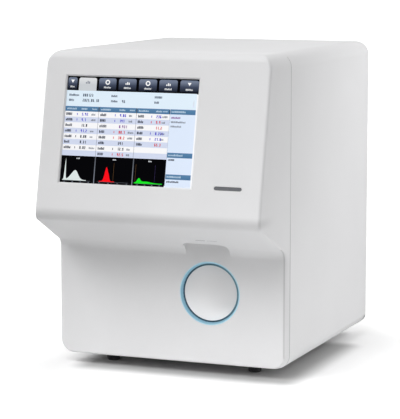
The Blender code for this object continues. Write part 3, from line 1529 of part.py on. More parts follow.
def build_syringe(case):
    """The syringe that meters diluent, driven by a screw."""
    left = WALL_RIGHT + SEAT
    barrel_low = SYRINGE_TOP - BARREL_LENGTH
    shelf_high = barrel_low - SEAT
    shelf_low = shelf_high - SYRINGE_SHELF
    cross_high = shelf_low - CROSSHEAD_GAP
    cross_low = cross_high - CROSSHEAD_HEIGHT
    foot_high = cross_low - PLUNGER_TRAVEL - SYRINGE_FOOT_GAP
    foot_low = foot_high - SYRINGE_SHELF
    across = centred(SYRINGE_Y, SYRINGE_PLATE_WIDTH)
    shelf_reach = (left + SYRINGE_PLATE / 2, left + SYRINGE_SHELF_REACH)
    bracket = piece(
        "syringe_bracket",
        block((left, left + SYRINGE_PLATE), across, (foot_low, SYRINGE_TOP)),
        sheet_steel(),
        case,
    )
    join(bracket, gathered([
        block(shelf_reach, across, (shelf_low, shelf_high)),
        block(shelf_reach, across, (foot_low, foot_high)),
    ]))
    axis = (SYRINGE_X, SYRINGE_Y)
    screw = (SYRINGE_SCREW_X, SYRINGE_Y)
    through = (shelf_low - OVERRUN, shelf_high + OVERRUN)
    cut(bracket, gathered([
        rod(PLUNGER_ROD + RUNNING_GAP, *through, centre=axis),
        rod(SYRINGE_SCREW_RADIUS + SEAT, *through, centre=screw),
        rod(SYRINGE_SCREW_RADIUS + SEAT, foot_low - OVERRUN, foot_high + OVERRUN, centre=screw),
    ]))
    bore_top = SYRINGE_TOP - BARREL_END
    piece("syringe_barrel", turned([
        (BARREL_BORE, barrel_low),
        (BARREL_RADIUS, barrel_low),
        (BARREL_RADIUS, SYRINGE_TOP),
        (BARREL_NOZZLE, SYRINGE_TOP),
        (BARREL_NOZZLE, SYRINGE_TOP + BARREL_NOZZLE_LENGTH),
        (BATH_DRAIN_BORE, SYRINGE_TOP + BARREL_NOZZLE_LENGTH),
        (BATH_DRAIN_BORE, bore_top),
        (BARREL_BORE, bore_top),
    ], centre=axis, hollow=True), clear_plastic(), case)
    head = BARREL_BORE - SEAT
    plunger = piece("syringe_plunger", turned([
        (0.0, cross_low + SEAT),
        (PLUNGER_ROD, cross_low + SEAT),
        (PLUNGER_ROD, bore_top - SEAT - PLUNGER_HEAD),
        (head, bore_top - SEAT - PLUNGER_HEAD),
        (head, bore_top - SEAT),
        (0.0, bore_top - SEAT),
    ], centre=axis, steps=ROUND_STEPS), bright_steel(), case, (*axis, cross_high))
    join(plunger, block(
        (SYRINGE_SCREW_X - CROSSHEAD_MARGIN, SYRINGE_X + CROSSHEAD_MARGIN),
        centred(SYRINGE_Y, CROSSHEAD_WIDTH),
        (cross_low, cross_high),
    ))
    cut(plunger, rod(SYRINGE_SCREW_RADIUS + SEAT, cross_low - OVERRUN, cross_high + OVERRUN, centre=screw))
    motor_top = foot_low - SEAT
    piece("syringe_screw", rod(SYRINGE_SCREW_RADIUS, motor_top + SEAT, shelf_high, centre=screw),
          bright_steel(), case, (*screw, motor_top))
    piece(
        "syringe_motor",
        motor_body("z", (SYRINGE_MOTOR_X, SYRINGE_Y), SYRINGE_MOTOR_WIDTH, motor_top - SYRINGE_MOTOR_HEIGHT,
                   motor_top),
        dark_plastic(),
        case,
    )


def build_valves(case):
    """The row of solenoid valves on their manifold."""
    left = WALL_RIGHT + SEAT
    face = left + VALVE_BLOCK
    places = stations(VALVE_FIRST_Y, VALVE_SPACING, VALVE_COUNT)
    margin = VALVE_SPACING / 2
    bank = piece(
        "valve_bank",
        block((left, face), (places[0] - margin, places[-1] + margin), centred(VALVE_Z, VALVE_BLOCK_HEIGHT)),
        grey_plastic(),
        case,
    )
    end = face + VALVE_LENGTH
    join(
        bank,
        gathered([
            turned([
                (VALVE_RADIUS, face - VALVE_CAP),
                (VALVE_RADIUS, end - VALVE_CAP),
                (VALVE_RADIUS - VALVE_CAP, end),
            ], "x", (y, VALVE_Z), SMALL_STEPS)
            for y in places
        ]),
        gathered([
            rod(VALVE_NIPPLE, VALVE_Z + VALVE_BLOCK_HEIGHT / 2 - VALVE_NIPPLE,
                VALVE_Z + VALVE_BLOCK_HEIGHT / 2 + VALVE_NIPPLE_LENGTH,
                centre=(left + VALVE_BLOCK / 2, y), steps=8)
            for y in places
        ]),
    )


def build_waste_pump(case):
    """The peristaltic pump: a head with its roller rotor, facing the door."""
    centre = (PUMP_Y, PUMP_Z)
    back = PUMP_X
    front = back + PUMP_DEPTH
    body = piece("waste_pump", turned([
        (0.0, back - PUMP_MOTOR_LENGTH),
        (PUMP_MOTOR_RADIUS, back - PUMP_MOTOR_LENGTH),
        (PUMP_MOTOR_RADIUS, back),
        (PUMP_RADIUS + PUMP_WALL, back),
        (PUMP_RADIUS + PUMP_WALL, front),
        (PUMP_RADIUS, front),
        (PUMP_RADIUS, back + PUMP_FLOOR),
        (PUMP_SHAFT + SEAT, back + PUMP_FLOOR),
        (PUMP_SHAFT + SEAT, back + PUMP_FLOOR / 2),
        (0.0, back + PUMP_FLOOR / 2),
    ], "x", centre), grey_plastic(), case)
    foot_top = FLOOR_Z + PUMP_FOOT
    foot = centred(back - PUMP_POST, PUMP_FOOT_WIDTH)
    post = centred(back - PUMP_POST, PUMP_POST)
    stand = [
        (foot[0], FLOOR_Z),
        (foot[1], FLOOR_Z),
        (foot[1], foot_top),
        (post[1], foot_top),
        (post[1], PUMP_Z),
        (post[0], PUMP_Z),
        (post[0], foot_top),
        (foot[0], foot_top),
    ]
    join(body, prism(stand, *centred(PUMP_Y, PUMP_STAND_WIDTH), "y"))
    rotor_back = back + PUMP_FLOOR + SEAT
    rotor = piece("pump_rotor", turned([
        (0.0, back + PUMP_FLOOR / 2 + SEAT),
        (PUMP_SHAFT, back + PUMP_FLOOR / 2 + SEAT),
        (PUMP_SHAFT, rotor_back),
        (ROLLER_ORBIT + ROLLER_RADIUS / 2, rotor_back),
        (ROLLER_ORBIT + ROLLER_RADIUS / 2, rotor_back + ROTOR_PLATE),
        (ROTOR_HUB, rotor_back + ROTOR_PLATE),
        (ROTOR_HUB, rotor_back + ROTOR_LENGTH),
        (0.0, rotor_back + ROTOR_LENGTH),
    ], "x", centre), grey_plastic(), case, (rotor_back, *centre))
    rollers = []
    for index in range(ROLLER_COUNT):
        angle = math.tau * index / ROLLER_COUNT
        place = (PUMP_Y + ROLLER_ORBIT * math.cos(angle), PUMP_Z + ROLLER_ORBIT * math.sin(angle))
        rollers.append(rod(ROLLER_RADIUS, rotor_back + ROTOR_PLATE / 2, rotor_back + ROTOR_LENGTH, "x", place))
    join(rotor, gathered(rollers))


def build_main_board(case):
    """The circuit board on posts that stand on the wall's left face."""
    face = WALL_X + BOARD_X
    along, tall = (BOARD_FRONT, BOARD_REAR), (BOARD_LOW, BOARD_HIGH)
    board = piece("main_board", block((face - BOARD_THICKNESS, face), along, tall), board_green(), case)
    posts = [
        rod(POST_RADIUS, face - BOARD_THICKNESS / 2, WALL_LEFT - SEAT, "x", (y, z), 8)
        for y in (along[0] + POST_INSET, along[1] - POST_INSET)
        for z in (tall[0] + POST_INSET, tall[1] - POST_INSET)
    ]
    outer = face - BOARD_THICKNESS
    chips = []
    for y in stations(BOARD_FRONT + CHIP_SIZE * 3 / 2, CHIP_SIZE * 2, 3):
        for z in stations(BOARD_LOW + CHIP_SIZE * 2, CHIP_SIZE * 2, 2):
            chips.append(block((outer - CHIP_HEIGHT, outer + BOARD_THICKNESS / 2), centred(y, CHIP_SIZE),
                               centred(z, CHIP_SIZE)))
    sockets = [
        block((outer - SOCKET_ROW_HEIGHT, outer + BOARD_THICKNESS / 2), centred(y, SOCKET_ROW_LENGTH),
              (BOARD_LOW + SOCKET_ROW_WIDTH, BOARD_LOW + SOCKET_ROW_WIDTH * 2))
        for y in stations(BOARD_FRONT + SOCKET_ROW_LENGTH, SOCKET_ROW_LENGTH + SOCKET_ROW_WIDTH, 2)
    ]
    join(board, gathered(posts), gathered(chips), gathered(sockets))


def build_power_supply(case):
    """The boxed power supply with its vent slots."""
    front = SUPPLY_FRONT
    top = FLOOR_Z + SUPPLY_HEIGHT
    box = piece(
        "power_supply",
        block(centred(SUPPLY_X, SUPPLY_WIDTH), (front, front + SUPPLY_LENGTH), (FLOOR_Z, top)),
        sheet_steel(),
        case,
    )
    middle = front + SUPPLY_LENGTH / 2
    first = middle - SUPPLY_VENT_SPACING * (SUPPLY_VENTS - 1) / 2
    cut(box, gathered([
        block(centred(SUPPLY_X, SUPPLY_VENT_LENGTH), centred(y, SUPPLY_VENT_WIDTH),
              (top - SUPPLY_VENT_DEPTH, top + OVERRUN))
        for y in stations(first, SUPPLY_VENT_SPACING, SUPPLY_VENTS)
    ]))


def build_vacuum_pump(case):
    """The diaphragm pump on its base."""
    low = FLOOR_Z
    centre_z = low + VACUUM_HEAD_HEIGHT / 2
    half = VACUUM_BASE_LENGTH / 2
    head_front = VACUUM_Y - half
    pump = piece(
        "vacuum_pump",
        block(centred(VACUUM_X, VACUUM_BASE_WIDTH), (head_front, VACUUM_Y + half), (low, low + VACUUM_BASE)),
        sheet_steel(),
        case,
    )
    head_back = head_front + VACUUM_HEAD_LENGTH
    join(
        pump,
        block(centred(VACUUM_X, VACUUM_HEAD_WIDTH), (head_front, head_back),
              (low + VACUUM_BASE / 2, low + VACUUM_HEAD_HEIGHT)),
        rod(VACUUM_BODY_RADIUS, head_back - VACUUM_BASE, head_back + VACUUM_BODY_LENGTH, "y",
            (VACUUM_X, centre_z), ROUND_STEPS),
        gathered([
            rod(VACUUM_PORT_RADIUS, head_front - VACUUM_PORT_LENGTH, head_front + VACUUM_BASE, "y",
                (x, centre_z), 8)
            for x in centred(VACUUM_X, VACUUM_PORT_SPACING)
        ]),
    )


def build_fan(case):
    """The fan behind the rear panel and the wire guard outside."""
    centre = (FAN_X, FAN_Z)
    rear = PANEL_FACE - SEAT
    front = rear - FAN_DEPTH
    across, tall = centred(FAN_X, FAN_SIZE), centred(FAN_Z, FAN_SIZE)
    housing = piece("fan_frame", prism(rounded_rectangle(across, tall, FAN_CORNER), front, rear, "y"),
                    dark_plastic(), case)
    cut(housing, rod(FAN_BORE, front - OVERRUN, rear + OVERRUN, "y", centre, ROUND_STEPS))
    strut = (front, front + FAN_STRUT_DEPTH)
    join(
        housing,
        block(centred(FAN_X, FAN_BORE + FAN_SIZE / 2), strut, centred(FAN_Z, FAN_STRUT)),
        block(centred(FAN_X, FAN_STRUT), strut, centred(FAN_Z, FAN_BORE + FAN_SIZE / 2)),
        rod(FAN_MOTOR_RADIUS, front, front + FAN_STRUT_DEPTH * 2, "y", centre, ROUND_STEPS),
    )
    build_fan_rotor(case, centre, front + FAN_STRUT_DEPTH * 2 + SEAT, rear - RUNNING_GAP)
    build_fan_guard(case, centre)


def build_fan_rotor(case, centre, front, rear):
    """The fan's hub with its slanted blades."""
    rotor = piece("fan_rotor", turned([
        (0.0, front),
        (FAN_HUB, front),
        (FAN_HUB, rear - FAN_BLADE_GAP),
        (FAN_HUB - FAN_BLADE_GAP, rear),
        (0.0, rear),
    ], "y", centre), dark_plastic(), case, (centre[0], front, centre[1]))
    middle = (front + rear) / 2
    blades = []
    for index in range(FAN_BLADES):
        angle = math.tau * index / FAN_BLADES
        rings = []
        for radius, lean in (
            (FAN_HUB - FAN_BLADE_GAP, FAN_BLADE_TILT_SHARE),
            (FAN_BORE - FAN_BLADE_GAP, FAN_BLADE_TILT_SHARE * 2 / 3),
        ):
            chord = FAN_BLADE_CHORD / 2
            thickness = FAN_BLADE_THICKNESS / 2
            ring = []
            for along, over in ((-chord, -thickness), (chord, -thickness), (chord, thickness), (-chord, thickness)):
                depth = along * math.sin(lean) + over * math.cos(lean)
                offset = along * math.cos(lean) - over * math.sin(lean)
                spread = angle + offset / radius
                ring.append(Vector((
                    centre[0] + radius * math.cos(spread),
                    middle + depth,
                    centre[1] + radius * math.sin(spread),
                )))
            rings.append(ring)
        blades.append(loft(rings))
    join(rotor, gathered(blades))


def build_fan_guard(case, centre):
    """The guard of three rings on crossed arms, outside the panel."""
    low = BODY_DEPTH + SEAT
    high = low + GUARD_WIRE
    arms = []
    for index in range(4):
        angle = math.pi / 4 + math.pi / 2 * index
        direction = Vector((math.cos(angle), math.sin(angle)))
        side = Vector((-direction.y, direction.x)) * (GUARD_WIRE / 2)
        inner = Vector(centre) + (direction + Vector((-direction.y, direction.x))) * (GUARD_WIRE / 2)
        tip = Vector(centre) + direction * GUARD_ARM
        arms += [tip - side, tip + side, inner]
    guard = piece("fan_guard", prism([tuple(point) for point in arms], low, high, "y"), bright_steel(), case)
    rings = []
    for radius in stations(GUARD_FIRST, GUARD_SPACING, GUARD_RINGS):
        inner, outer = radius - GUARD_WIRE / 2, radius + GUARD_WIRE / 2
        over = high + GUARD_WIRE / 2
        rings.append(turned([(inner, low + GUARD_WIRE / 2), (outer, low + GUARD_WIRE / 2), (outer, over),
                             (inner, over)], "y", centre, ROUND_STEPS, hollow=True))
    join(guard, gathered(rings))


def build_power_inlet(case):
    """The mains inlet with its socket and prongs, and the rocker switch above it."""
    face = BODY_DEPTH + SEAT
    proud = face + INLET_FLANGE
    socket_z = INLET_Z - SOCKET_DROP
    rocker_z = INLET_Z + ROCKER_UP
    inlet = piece(
        "power_inlet",
        block(centred(INLET_X, INLET_WIDTH), (proud - INLET_BODY_DEPTH, proud), centred(INLET_Z, INLET_HEIGHT)),
        dark_plastic(),
        case,
    )
    join(inlet, block(
        centred(INLET_X, INLET_WIDTH + INLET_LIP * 2),
        (face, proud),
        centred(INLET_Z, INLET_HEIGHT + INLET_LIP * 2),
    ))
    socket = rounded_rectangle(centred(INLET_X, SOCKET_WIDTH), centred(socket_z, SOCKET_HEIGHT), SOCKET_CORNER, 2)
    floor = proud - SOCKET_DEPTH
    well = proud - ROCKER_DEPTH
    cut(
        inlet,
        prism(socket, floor, proud + OVERRUN, "y"),
        block(
            centred(INLET_X, ROCKER_WIDTH + RUNNING_GAP * 2),
            (well, proud + OVERRUN),
            centred(rocker_z, ROCKER_HEIGHT + ROCKER_PROUD * 2),
        ),
    )
    prongs = [
        block(centred(INLET_X + shift * PRONG_SPACING, PRONG_WIDTH), (floor - PRONG_WIDTH, floor + PRONG_LENGTH),
              centred(socket_z + lift * PRONG_STEP, PRONG_HEIGHT))
        for shift, lift in ((-1, -1 / 2), (0, 1 / 2), (1, -1 / 2))
    ]
    join(inlet, gathered(prongs))
    build_rocker(case, proud, well, rocker_z)


def build_rocker(case, proud, well, rocker_z):
    """The rocker of the power switch, which tips about the middle of its well."""
    tilt = math.radians(ROCKER_TILT_DEGREES)
    half = ROCKER_HEIGHT / 2
    rise = half * math.tan(tilt)
    pivot = (proud + well) / 2
    outline = [
        (well + SEAT, rocker_z),
        (pivot - rise, rocker_z - half),
        (proud, rocker_z - half),
        (proud - rise / 2, rocker_z),
        (proud + rise, rocker_z + half),
        (pivot, rocker_z + half),
    ]
    piece("power_rocker", prism(outline, *centred(INLET_X, ROCKER_WIDTH), "x"), dark_plastic(), case,
          (INLET_X, pivot, rocker_z))


def build_fluid_ports(case):
    """The three hose connections low on the rear panel."""
    face = BODY_DEPTH + SEAT
    tip = BODY_DEPTH + REAR_REACH
    shoulder = face + PORT_FLANGE
    waist = (shoulder + tip) / 2
    for name, x in zip(("diluent_port", "lyse_port", "waste_port"), stations(PORT_X, PORT_SPACING, PORT_COUNT)):
        piece(name, turned([
            (PORT_BORE, tip),
            (PORT_BORE, PANEL_FACE - PORT_THREAD_LENGTH),
            (PORT_THREAD_RADIUS, PANEL_FACE - PORT_THREAD_LENGTH),
            (PORT_THREAD_RADIUS, face),
            (PORT_FLANGE_RADIUS, face),
            (PORT_FLANGE_RADIUS, shoulder),
            (PORT_TIP_RADIUS, shoulder),
            (PORT_TIP_RADIUS, waist - PORT_FLANGE),
            (PORT_BARB_RADIUS, waist - PORT_FLANGE),
            (PORT_TIP_RADIUS, tip),
        ], "y", (x, PORT_Z), SMALL_STEPS, hollow=True), brass(), case)


def build_data_ports(case):
    """The block of data sockets: four for sticks, one for the network and one serial."""
    face = BODY_DEPTH + SEAT
    proud = face + DATA_FLANGE
    ports = piece(
        "data_ports",
        block(centred(DATA_X, DATA_WIDTH), (proud - DATA_DEPTH, proud), centred(DATA_Z, DATA_HEIGHT)),
        sheet_steel(),
        case,
    )
    join(ports, block(
        centred(DATA_X, DATA_WIDTH + DATA_LIP * 2),
        (face, proud),
        centred(DATA_Z, DATA_HEIGHT + DATA_LIP * 2),
    ))
    depth = (proud - USB_DEPTH, proud + OVERRUN)
    left = DATA_X - DATA_WIDTH / 2
    usb_x = left + USB_WIDTH * 2 / 3
    network_x = usb_x + USB_WIDTH * 5 / 2
    serial_x = DATA_X + DATA_WIDTH / 2 - SERIAL_WIDTH * 2 / 3
    sockets = [
        block(centred(x, USB_WIDTH), depth, centred(DATA_Z + side * USB_PITCH / 2, USB_HEIGHT))
        for x in (usb_x, usb_x + USB_WIDTH * 5 / 4)
        for side in (-1, 1)
    ]
    sockets.append(block(centred(network_x, NETWORK_SIZE), depth, centred(DATA_Z, NETWORK_SIZE)))
    sockets.append(block(centred(serial_x, SERIAL_WIDTH), depth, centred(DATA_Z, SERIAL_HEIGHT)))
    cut(ports, gathered(sockets))


def front_reach():
    """Return how far the rounded nose stands in front of the lower face."""
    return -min(point.x for point, _ in front_profile())


def main():
    """Build the analyzer on its feet, with its origin under the middle of its outline."""
    remove_old_objects()
    middle = (BODY_DEPTH + REAR_REACH - front_reach()) / 2
    case = frame("analyzer", at=(0.0, -middle, FOOT_HEIGHT))
    face = frame("upper_face", case, upper_face_place(0.0, 0.0, 0.0), -LEAN)
    build_front_cover(case)
    build_main_cover(case)
    build_right_door(case)
    build_hinge_brackets(case)
    build_rear_panel(case)
    build_base_tray(case)
    build_feet(case)
    build_display(face)
    build_status_lens(face)
    build_key(case)
    build_mid_wall(case)
    build_sampling_frame(case)
    build_carriage(case)
    build_baths(case)
    build_syringe(case)
    build_valves(case)
    build_waste_pump(case)
    build_main_board(case)
    build_power_supply(case)
    build_vacuum_pump(case)
    build_fan(case)
    build_power_inlet(case)
    build_fluid_ports(case)
    build_data_ports(case)


main()
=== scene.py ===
"""Dressed model of a compact hematology analyzer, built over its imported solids.

Finishes, the screen's picture, fasteners, tubes and wires are made here. Lengths are in metres, and colours
are written as screen values from 0 to 255.
"""

import json
import logging
import math
import random
from dataclasses import dataclass, field
from enum import Enum, IntEnum
from typing import Iterable, Sequence, Union

import bmesh
import bpy
from mathutils import Matrix, Vector

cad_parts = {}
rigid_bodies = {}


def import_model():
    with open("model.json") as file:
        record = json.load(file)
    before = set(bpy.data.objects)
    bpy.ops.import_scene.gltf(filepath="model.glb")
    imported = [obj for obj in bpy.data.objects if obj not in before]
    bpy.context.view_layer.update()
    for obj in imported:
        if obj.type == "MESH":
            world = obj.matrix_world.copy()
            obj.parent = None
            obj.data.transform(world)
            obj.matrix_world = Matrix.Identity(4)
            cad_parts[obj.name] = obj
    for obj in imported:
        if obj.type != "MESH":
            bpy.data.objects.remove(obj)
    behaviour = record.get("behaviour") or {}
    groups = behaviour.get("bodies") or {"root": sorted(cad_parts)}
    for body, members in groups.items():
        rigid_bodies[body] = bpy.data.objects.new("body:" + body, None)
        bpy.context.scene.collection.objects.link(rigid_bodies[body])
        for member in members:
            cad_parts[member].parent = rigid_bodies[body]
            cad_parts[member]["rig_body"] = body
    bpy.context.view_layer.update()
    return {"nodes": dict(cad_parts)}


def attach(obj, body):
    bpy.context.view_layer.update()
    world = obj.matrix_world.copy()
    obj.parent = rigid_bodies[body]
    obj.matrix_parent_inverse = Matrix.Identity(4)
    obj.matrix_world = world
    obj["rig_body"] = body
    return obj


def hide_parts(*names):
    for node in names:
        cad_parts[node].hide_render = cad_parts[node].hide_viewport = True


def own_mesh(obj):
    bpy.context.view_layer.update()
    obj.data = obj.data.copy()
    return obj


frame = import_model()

LOG = logging.getLogger("analyzer")

Pair = tuple[float, float]
Point = tuple[float, float, float]
Colour = tuple[float, float, float, float]
Socket = bpy.types.NodeSocket
Term = Union["Value", float]


def middle(node: str, axes: str = "xyz") -> tuple[float, ...]:
    """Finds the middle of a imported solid.

    Args:
        node: The solid's name.
        axes: The axes that are wanted.

    Returns:
        The middle of the solid's box along each of them.
    """
    sides = ([getattr(vertex.co, axis) for vertex in frame["nodes"][node].data.vertices] for axis in axes)
    return tuple((min(side) + max(side)) / 2 for side in sides)


KEY_AXIS = middle("aspirate_key", "xz")
PUMP_AXIS = middle("waste_pump", "y") + middle("pump_rotor", "z")


def ink(red: float, green: float, blue: float) -> Colour:
    """Turns three screen values into a linear colour.

    Args:
        red: The red screen value, 0 to 255.
        green: The green screen value.
        blue: The blue screen value.

    Returns:
        The linear colour with full alpha.
    """
    shares = [level / 255 for level in (red, green, blue)]
    linear = [s / 12.92 if s <= 0.04045 else ((s + 0.055) / 1.055) ** 2.4 for s in shares]
    return (linear[0], linear[1], linear[2], 1.0)


def shaded(colour: Colour, share: float) -> Colour:
    """Scales a linear colour's brightness.

    Args:
        colour: The colour.
        share: What its red, green and blue are multiplied by.

    Returns:
        The scaled colour, each part at most 1.
    """
    red, green, blue = (min(1.0, part * share) for part in colour[:3])
    return (red, green, blue, 1.0)


def grey(level: float) -> Colour:
    """Gives a neutral linear colour."""
    return (level, level, level, 1.0)


# Node tools


class Value:
    """A shader socket that takes part in sums, where each operator adds its Math node."""

    def __init__(self, shader: "Shader", socket: Socket) -> None:
        """Wraps one output socket of the shader."""
        self.shader = shader
        self.socket = socket

    def __add__(self, other: Term) -> "Value":
        """Sum with a value or number."""
        return self.shader.maths("ADD", self, other)

    __radd__ = __add__

    def __sub__(self, other: Term) -> "Value":
        """Difference from a value or number."""
        return self.shader.maths("SUBTRACT", self, other)

    def __rsub__(self, other: Term) -> "Value":
        """Number minus this value."""
        return self.shader.maths("SUBTRACT", other, self)

    def __mul__(self, other: Term) -> "Value":
        """Product with a value or number."""
        return self.shader.maths("MULTIPLY", self, other)

    __rmul__ = __mul__

    def __truediv__(self, other: Term) -> "Value":
        """Quotient by a value or number."""
        return self.shader.maths("DIVIDE", self, other)

    def root(self) -> "Value":
        """Square root of this value."""
        return self.shader.maths("SQRT", self)

    def within(self) -> "Value":
        """Fractional part of this value."""
        return self.shader.maths("FRACT", self)

    def distance(self, other: Term) -> "Value":
        """Absolute difference from a value or number."""
        return self.shader.maths("ABSOLUTE", self - other)

    def step(self, start: float, end: float) -> "Value":
        """Smooth step of this value.

        Args:
            start: Where the step is still 0.
            end: Where it has reached 1.

        Returns:
            The step as a value from 0 to 1.
        """
        made = self.shader.node(
            "MapRange",
            {"interpolation_type": "SMOOTHSTEP", "clamp": True},
            {"Value": self, "From Min": min(start, end), "From Max": max(start, end)},
        )
        found = Value(self.shader, made.outputs["Result"])
        return found if end > start else 1 - found


class Nodes:
    """A node tree with one way to add any node."""

    def __init__(self, tree: bpy.types.NodeTree, prefix: str) -> None:
        """Wraps a tree whose own node types start with the prefix."""
        self.tree = tree
        self.prefix = prefix

    def node(self, kind: str, settings: dict | None = None, inputs: dict | None = None) -> bpy.types.Node:
        """Adds a node.

        Args:
            kind: The node's full type, or its type without the tree's prefix.
            settings: The node's own settings, set first.
            inputs: Values or links of its sockets, by name or number.

        Returns:
            The new node.
        """
        full = kind if kind.startswith(("Node", "Function", "Shader")) else self.prefix + kind
        made = self.tree.nodes.new(full)
        for name, setting in (settings or {}).items():
            setattr(made, name, setting)
        for key, given in (inputs or {}).items():
            self.feed(made.inputs[key], given)
        return made

    def feed(self, socket: Socket, given: object) -> None:
        """Links or sets one socket.

        Args:
            socket: The input socket.
            given: A value, another node's socket or a plain number or colour.
        """
        source = given.socket if isinstance(given, Value) else given
        if isinstance(source, Socket):
            self.tree.links.new(source, socket)
        else:
            socket.default_value = source


class Shader(Nodes):
    """One material's node tree round a Principled shader."""

    def __init__(self, name: str, **fixed: object) -> None:
        """Starts a material.

        Args:
            name: The material's name.
            **fixed: Socket values that are the same all over, with underscores for spaces.
        """
        self.material = bpy.data.materials.new(name)
        self.material.use_nodes = True
        super().__init__(self.material.node_tree, "ShaderNode")
        self.tree.nodes.clear()
        self.surface = self.node("BsdfPrincipled")
        self.node("OutputMaterial", None, {"Surface": self.surface.outputs["BSDF"]})
        self.dress(**fixed)

    def dress(self, **given: object) -> bpy.types.Material:
        """Links or sets sockets of the Principled shader.

        Args:
            **given: Values or links by socket, with underscores for spaces.

        Returns:
            The material.
        """
        for socket, source in given.items():
            self.feed(self.surface.inputs[socket.replace("_", " ")], source)
        return self.material

    def maths(self, operation: str, *terms: Term) -> Value:
        """Adds a Math node.

        Args:
            operation: The node's operation.
            *terms: Its values or numbers.

        Returns:
            The node's result.
        """
        made = self.node("Math", {"operation": operation}, dict(enumerate(terms)))
        return Value(self, made.outputs[0])

    def place(self, turn: Point = (0, 0, 0), stretch: Point = (1, 1, 1), centre: Point = (0, 0, 0)) -> Socket:
        """Gives the piece's own coordinates.

        Args:
            turn: Rotation in radians.
            stretch: Scale along each axis.
            centre: The point that becomes the pattern's zero.

        Returns:
            The coordinates' socket.
        """
        own = self.node("TexCoord").outputs["Object"]
        moved = self.node("VectorMath", {"operation": "SUBTRACT"}, {0: own, 1: centre}).outputs[0]
        mapped = self.node("Mapping", None, {"Vector": moved, "Rotation": turn, "Scale": stretch})
        return mapped.outputs["Vector"]

    def along(self, place: Socket) -> tuple[Value, Value, Value]:
        """Parts coordinates into their three values."""
        parts = self.node("SeparateXYZ", None, {0: place}).outputs
        return (Value(self, parts[0]), Value(self, parts[1]), Value(self, parts[2]))

    def about(self, axis: Pair) -> tuple[Value, Value, Value]:
        """Measures from a level axis that runs from front to back.

        Args:
            axis: The axis's x and z.

        Returns:
            The distance from the axis, and its parts across and up.
        """
        across, _, up = self.along(self.place(centre=(axis[0], 0.0, axis[1])))
        return (across * across + up * up).root(), across, up

    def noise(self, size: float, detail: float = 2.0, place: Socket | None = None) -> Value:
        """Adds soft noise.

        Args:
            size: The width of its blots.
            detail: How many finer layers it has.
            place: Its coordinates, or the piece's own.

        Returns:
            The noise, about 0.5 on average.
        """
        made = self.node("TexNoise", None, {
            "Vector": place or self.place(), "Scale": 1 / size, "Detail": detail, "Roughness": 0.55})
        return Value(self, made.outputs[0])

    def cells(self, size: float, place: Socket | None = None) -> Value:
        """Adds the distance to the nearest of many scattered points.

        Args:
            size: The cells' usual width.
            place: The coordinates, or the piece's own.

        Returns:
            The distance in cells.
        """
        made = self.node("TexVoronoi", None, {"Vector": place or self.place(), "Scale": 1 / size})
        return Value(self, made.outputs["Distance"])

    def mix(self, share: Term, first: object, second: object) -> Socket:
        """Mixes two colours.

        Args:
            share: How much of the second, 0 to 1.
            first: A colour or a colour socket.
            second: A colour or a colour socket.

        Returns:
            The mixed colour's socket.
        """
        made = self.node("Mix", {"data_type": "RGBA"}, {0: share, 6: first, 7: second})
        return made.outputs[2]

    def bump(self, height: Value, depth: float, under: Socket | None = None) -> Socket:
        """Adds relief.

        Args:
            height: The relief from 0 to 1.
            depth: What a height of 1 stands for.
            under: The normal that it adds to.

        Returns:
            The normal's socket.
        """
        inputs = {"Height": height, "Distance": depth, "Strength": 1.0}
        if under is not None:
            inputs["Normal"] = under
        return self.node("Bump", None, inputs).outputs["Normal"]


# Finishes


@dataclass(frozen=True)
class Finish:
    """What all finishes share: a name, the record's slot and a base colour."""

    name: str
    slot: str
    colour: Colour

    def material(self) -> bpy.types.Material:
        """Builds the finish's material."""
        raise NotImplementedError


@dataclass(frozen=True)
class Band:
    """A range along one axis, with soft ends."""

    axis: int
    low: float
    high: float
    soft: float

    def share(self, along: Sequence[Value]) -> Value:
        """Measures how far a place lies inside the range.

        Args:
            along: The place's three coordinates.

        Returns:
            The share from 0 to 1.
        """
        place = along[self.axis]
        return place.step(self.low - self.soft, self.low) * place.step(self.high + self.soft, self.high)


@dataclass(frozen=True)
class Moulded(Finish):
    """Moulded or coated plastic with a fine spark-eroded grain, and painted shade and painted light where its bands
    cross.
    """

    roughness: float = 0.45
    grain: float = 0.0005
    depth: float = 0.00002
    cloud: float = 0.07
    coat: float = 0.0
    shine: float = 0.5
    painted_light_bands: tuple[tuple[float, tuple[Band, ...]], ...] = ()

    def material(self) -> bpy.types.Material:
        """Builds a softly mottled plastic with a fine grain and faint moulding waves."""
        shader = Shader(self.name, IOR=1.46, Coat_Roughness=0.25, Coat_Weight=self.coat,
                        Specular_IOR_Level=self.shine)
        cloud = shader.noise(self.cloud, 3)
        grain = shader.noise(self.grain, 1)
        worn = shader.mix(cloud, shaded(self.colour, 0.965), shaded(self.colour, 1.03))
        tone = shader.mix(grain.step(0.25, 0.8) * 0.25, worn, shaded(self.colour, 0.94))
        return shader.dress(
            Base_Color=self.paint(shader, tone),
            Roughness=self.roughness + (shader.noise(self.cloud / 4) - 0.5) * 0.12,
            Normal=shader.bump(grain, self.depth, shader.bump(cloud, self.depth * 5)))

    def paint(self, shader: Shader, tone: Socket) -> Socket:
        """Paints shade and light into the tone where bands cross; a kind that also paints a rim overrides this.

        Args:
            shader: Shader that the tone belongs to.
            tone: The plastic's own tone.

        Returns:
            Socket with the tone and its bands of painted shade and painted light.
        """
        if self.painted_light_bands:
            along = shader.along(shader.place())
            for share, bands in self.painted_light_bands:
                inside = math.prod(band.share(along) for band in bands)
                # Each band set scales the tone as painted shade (share below 1) or painted light (share above 1).
                tone = shader.mix(inside, tone, shaded(self.colour, share))
        return tone


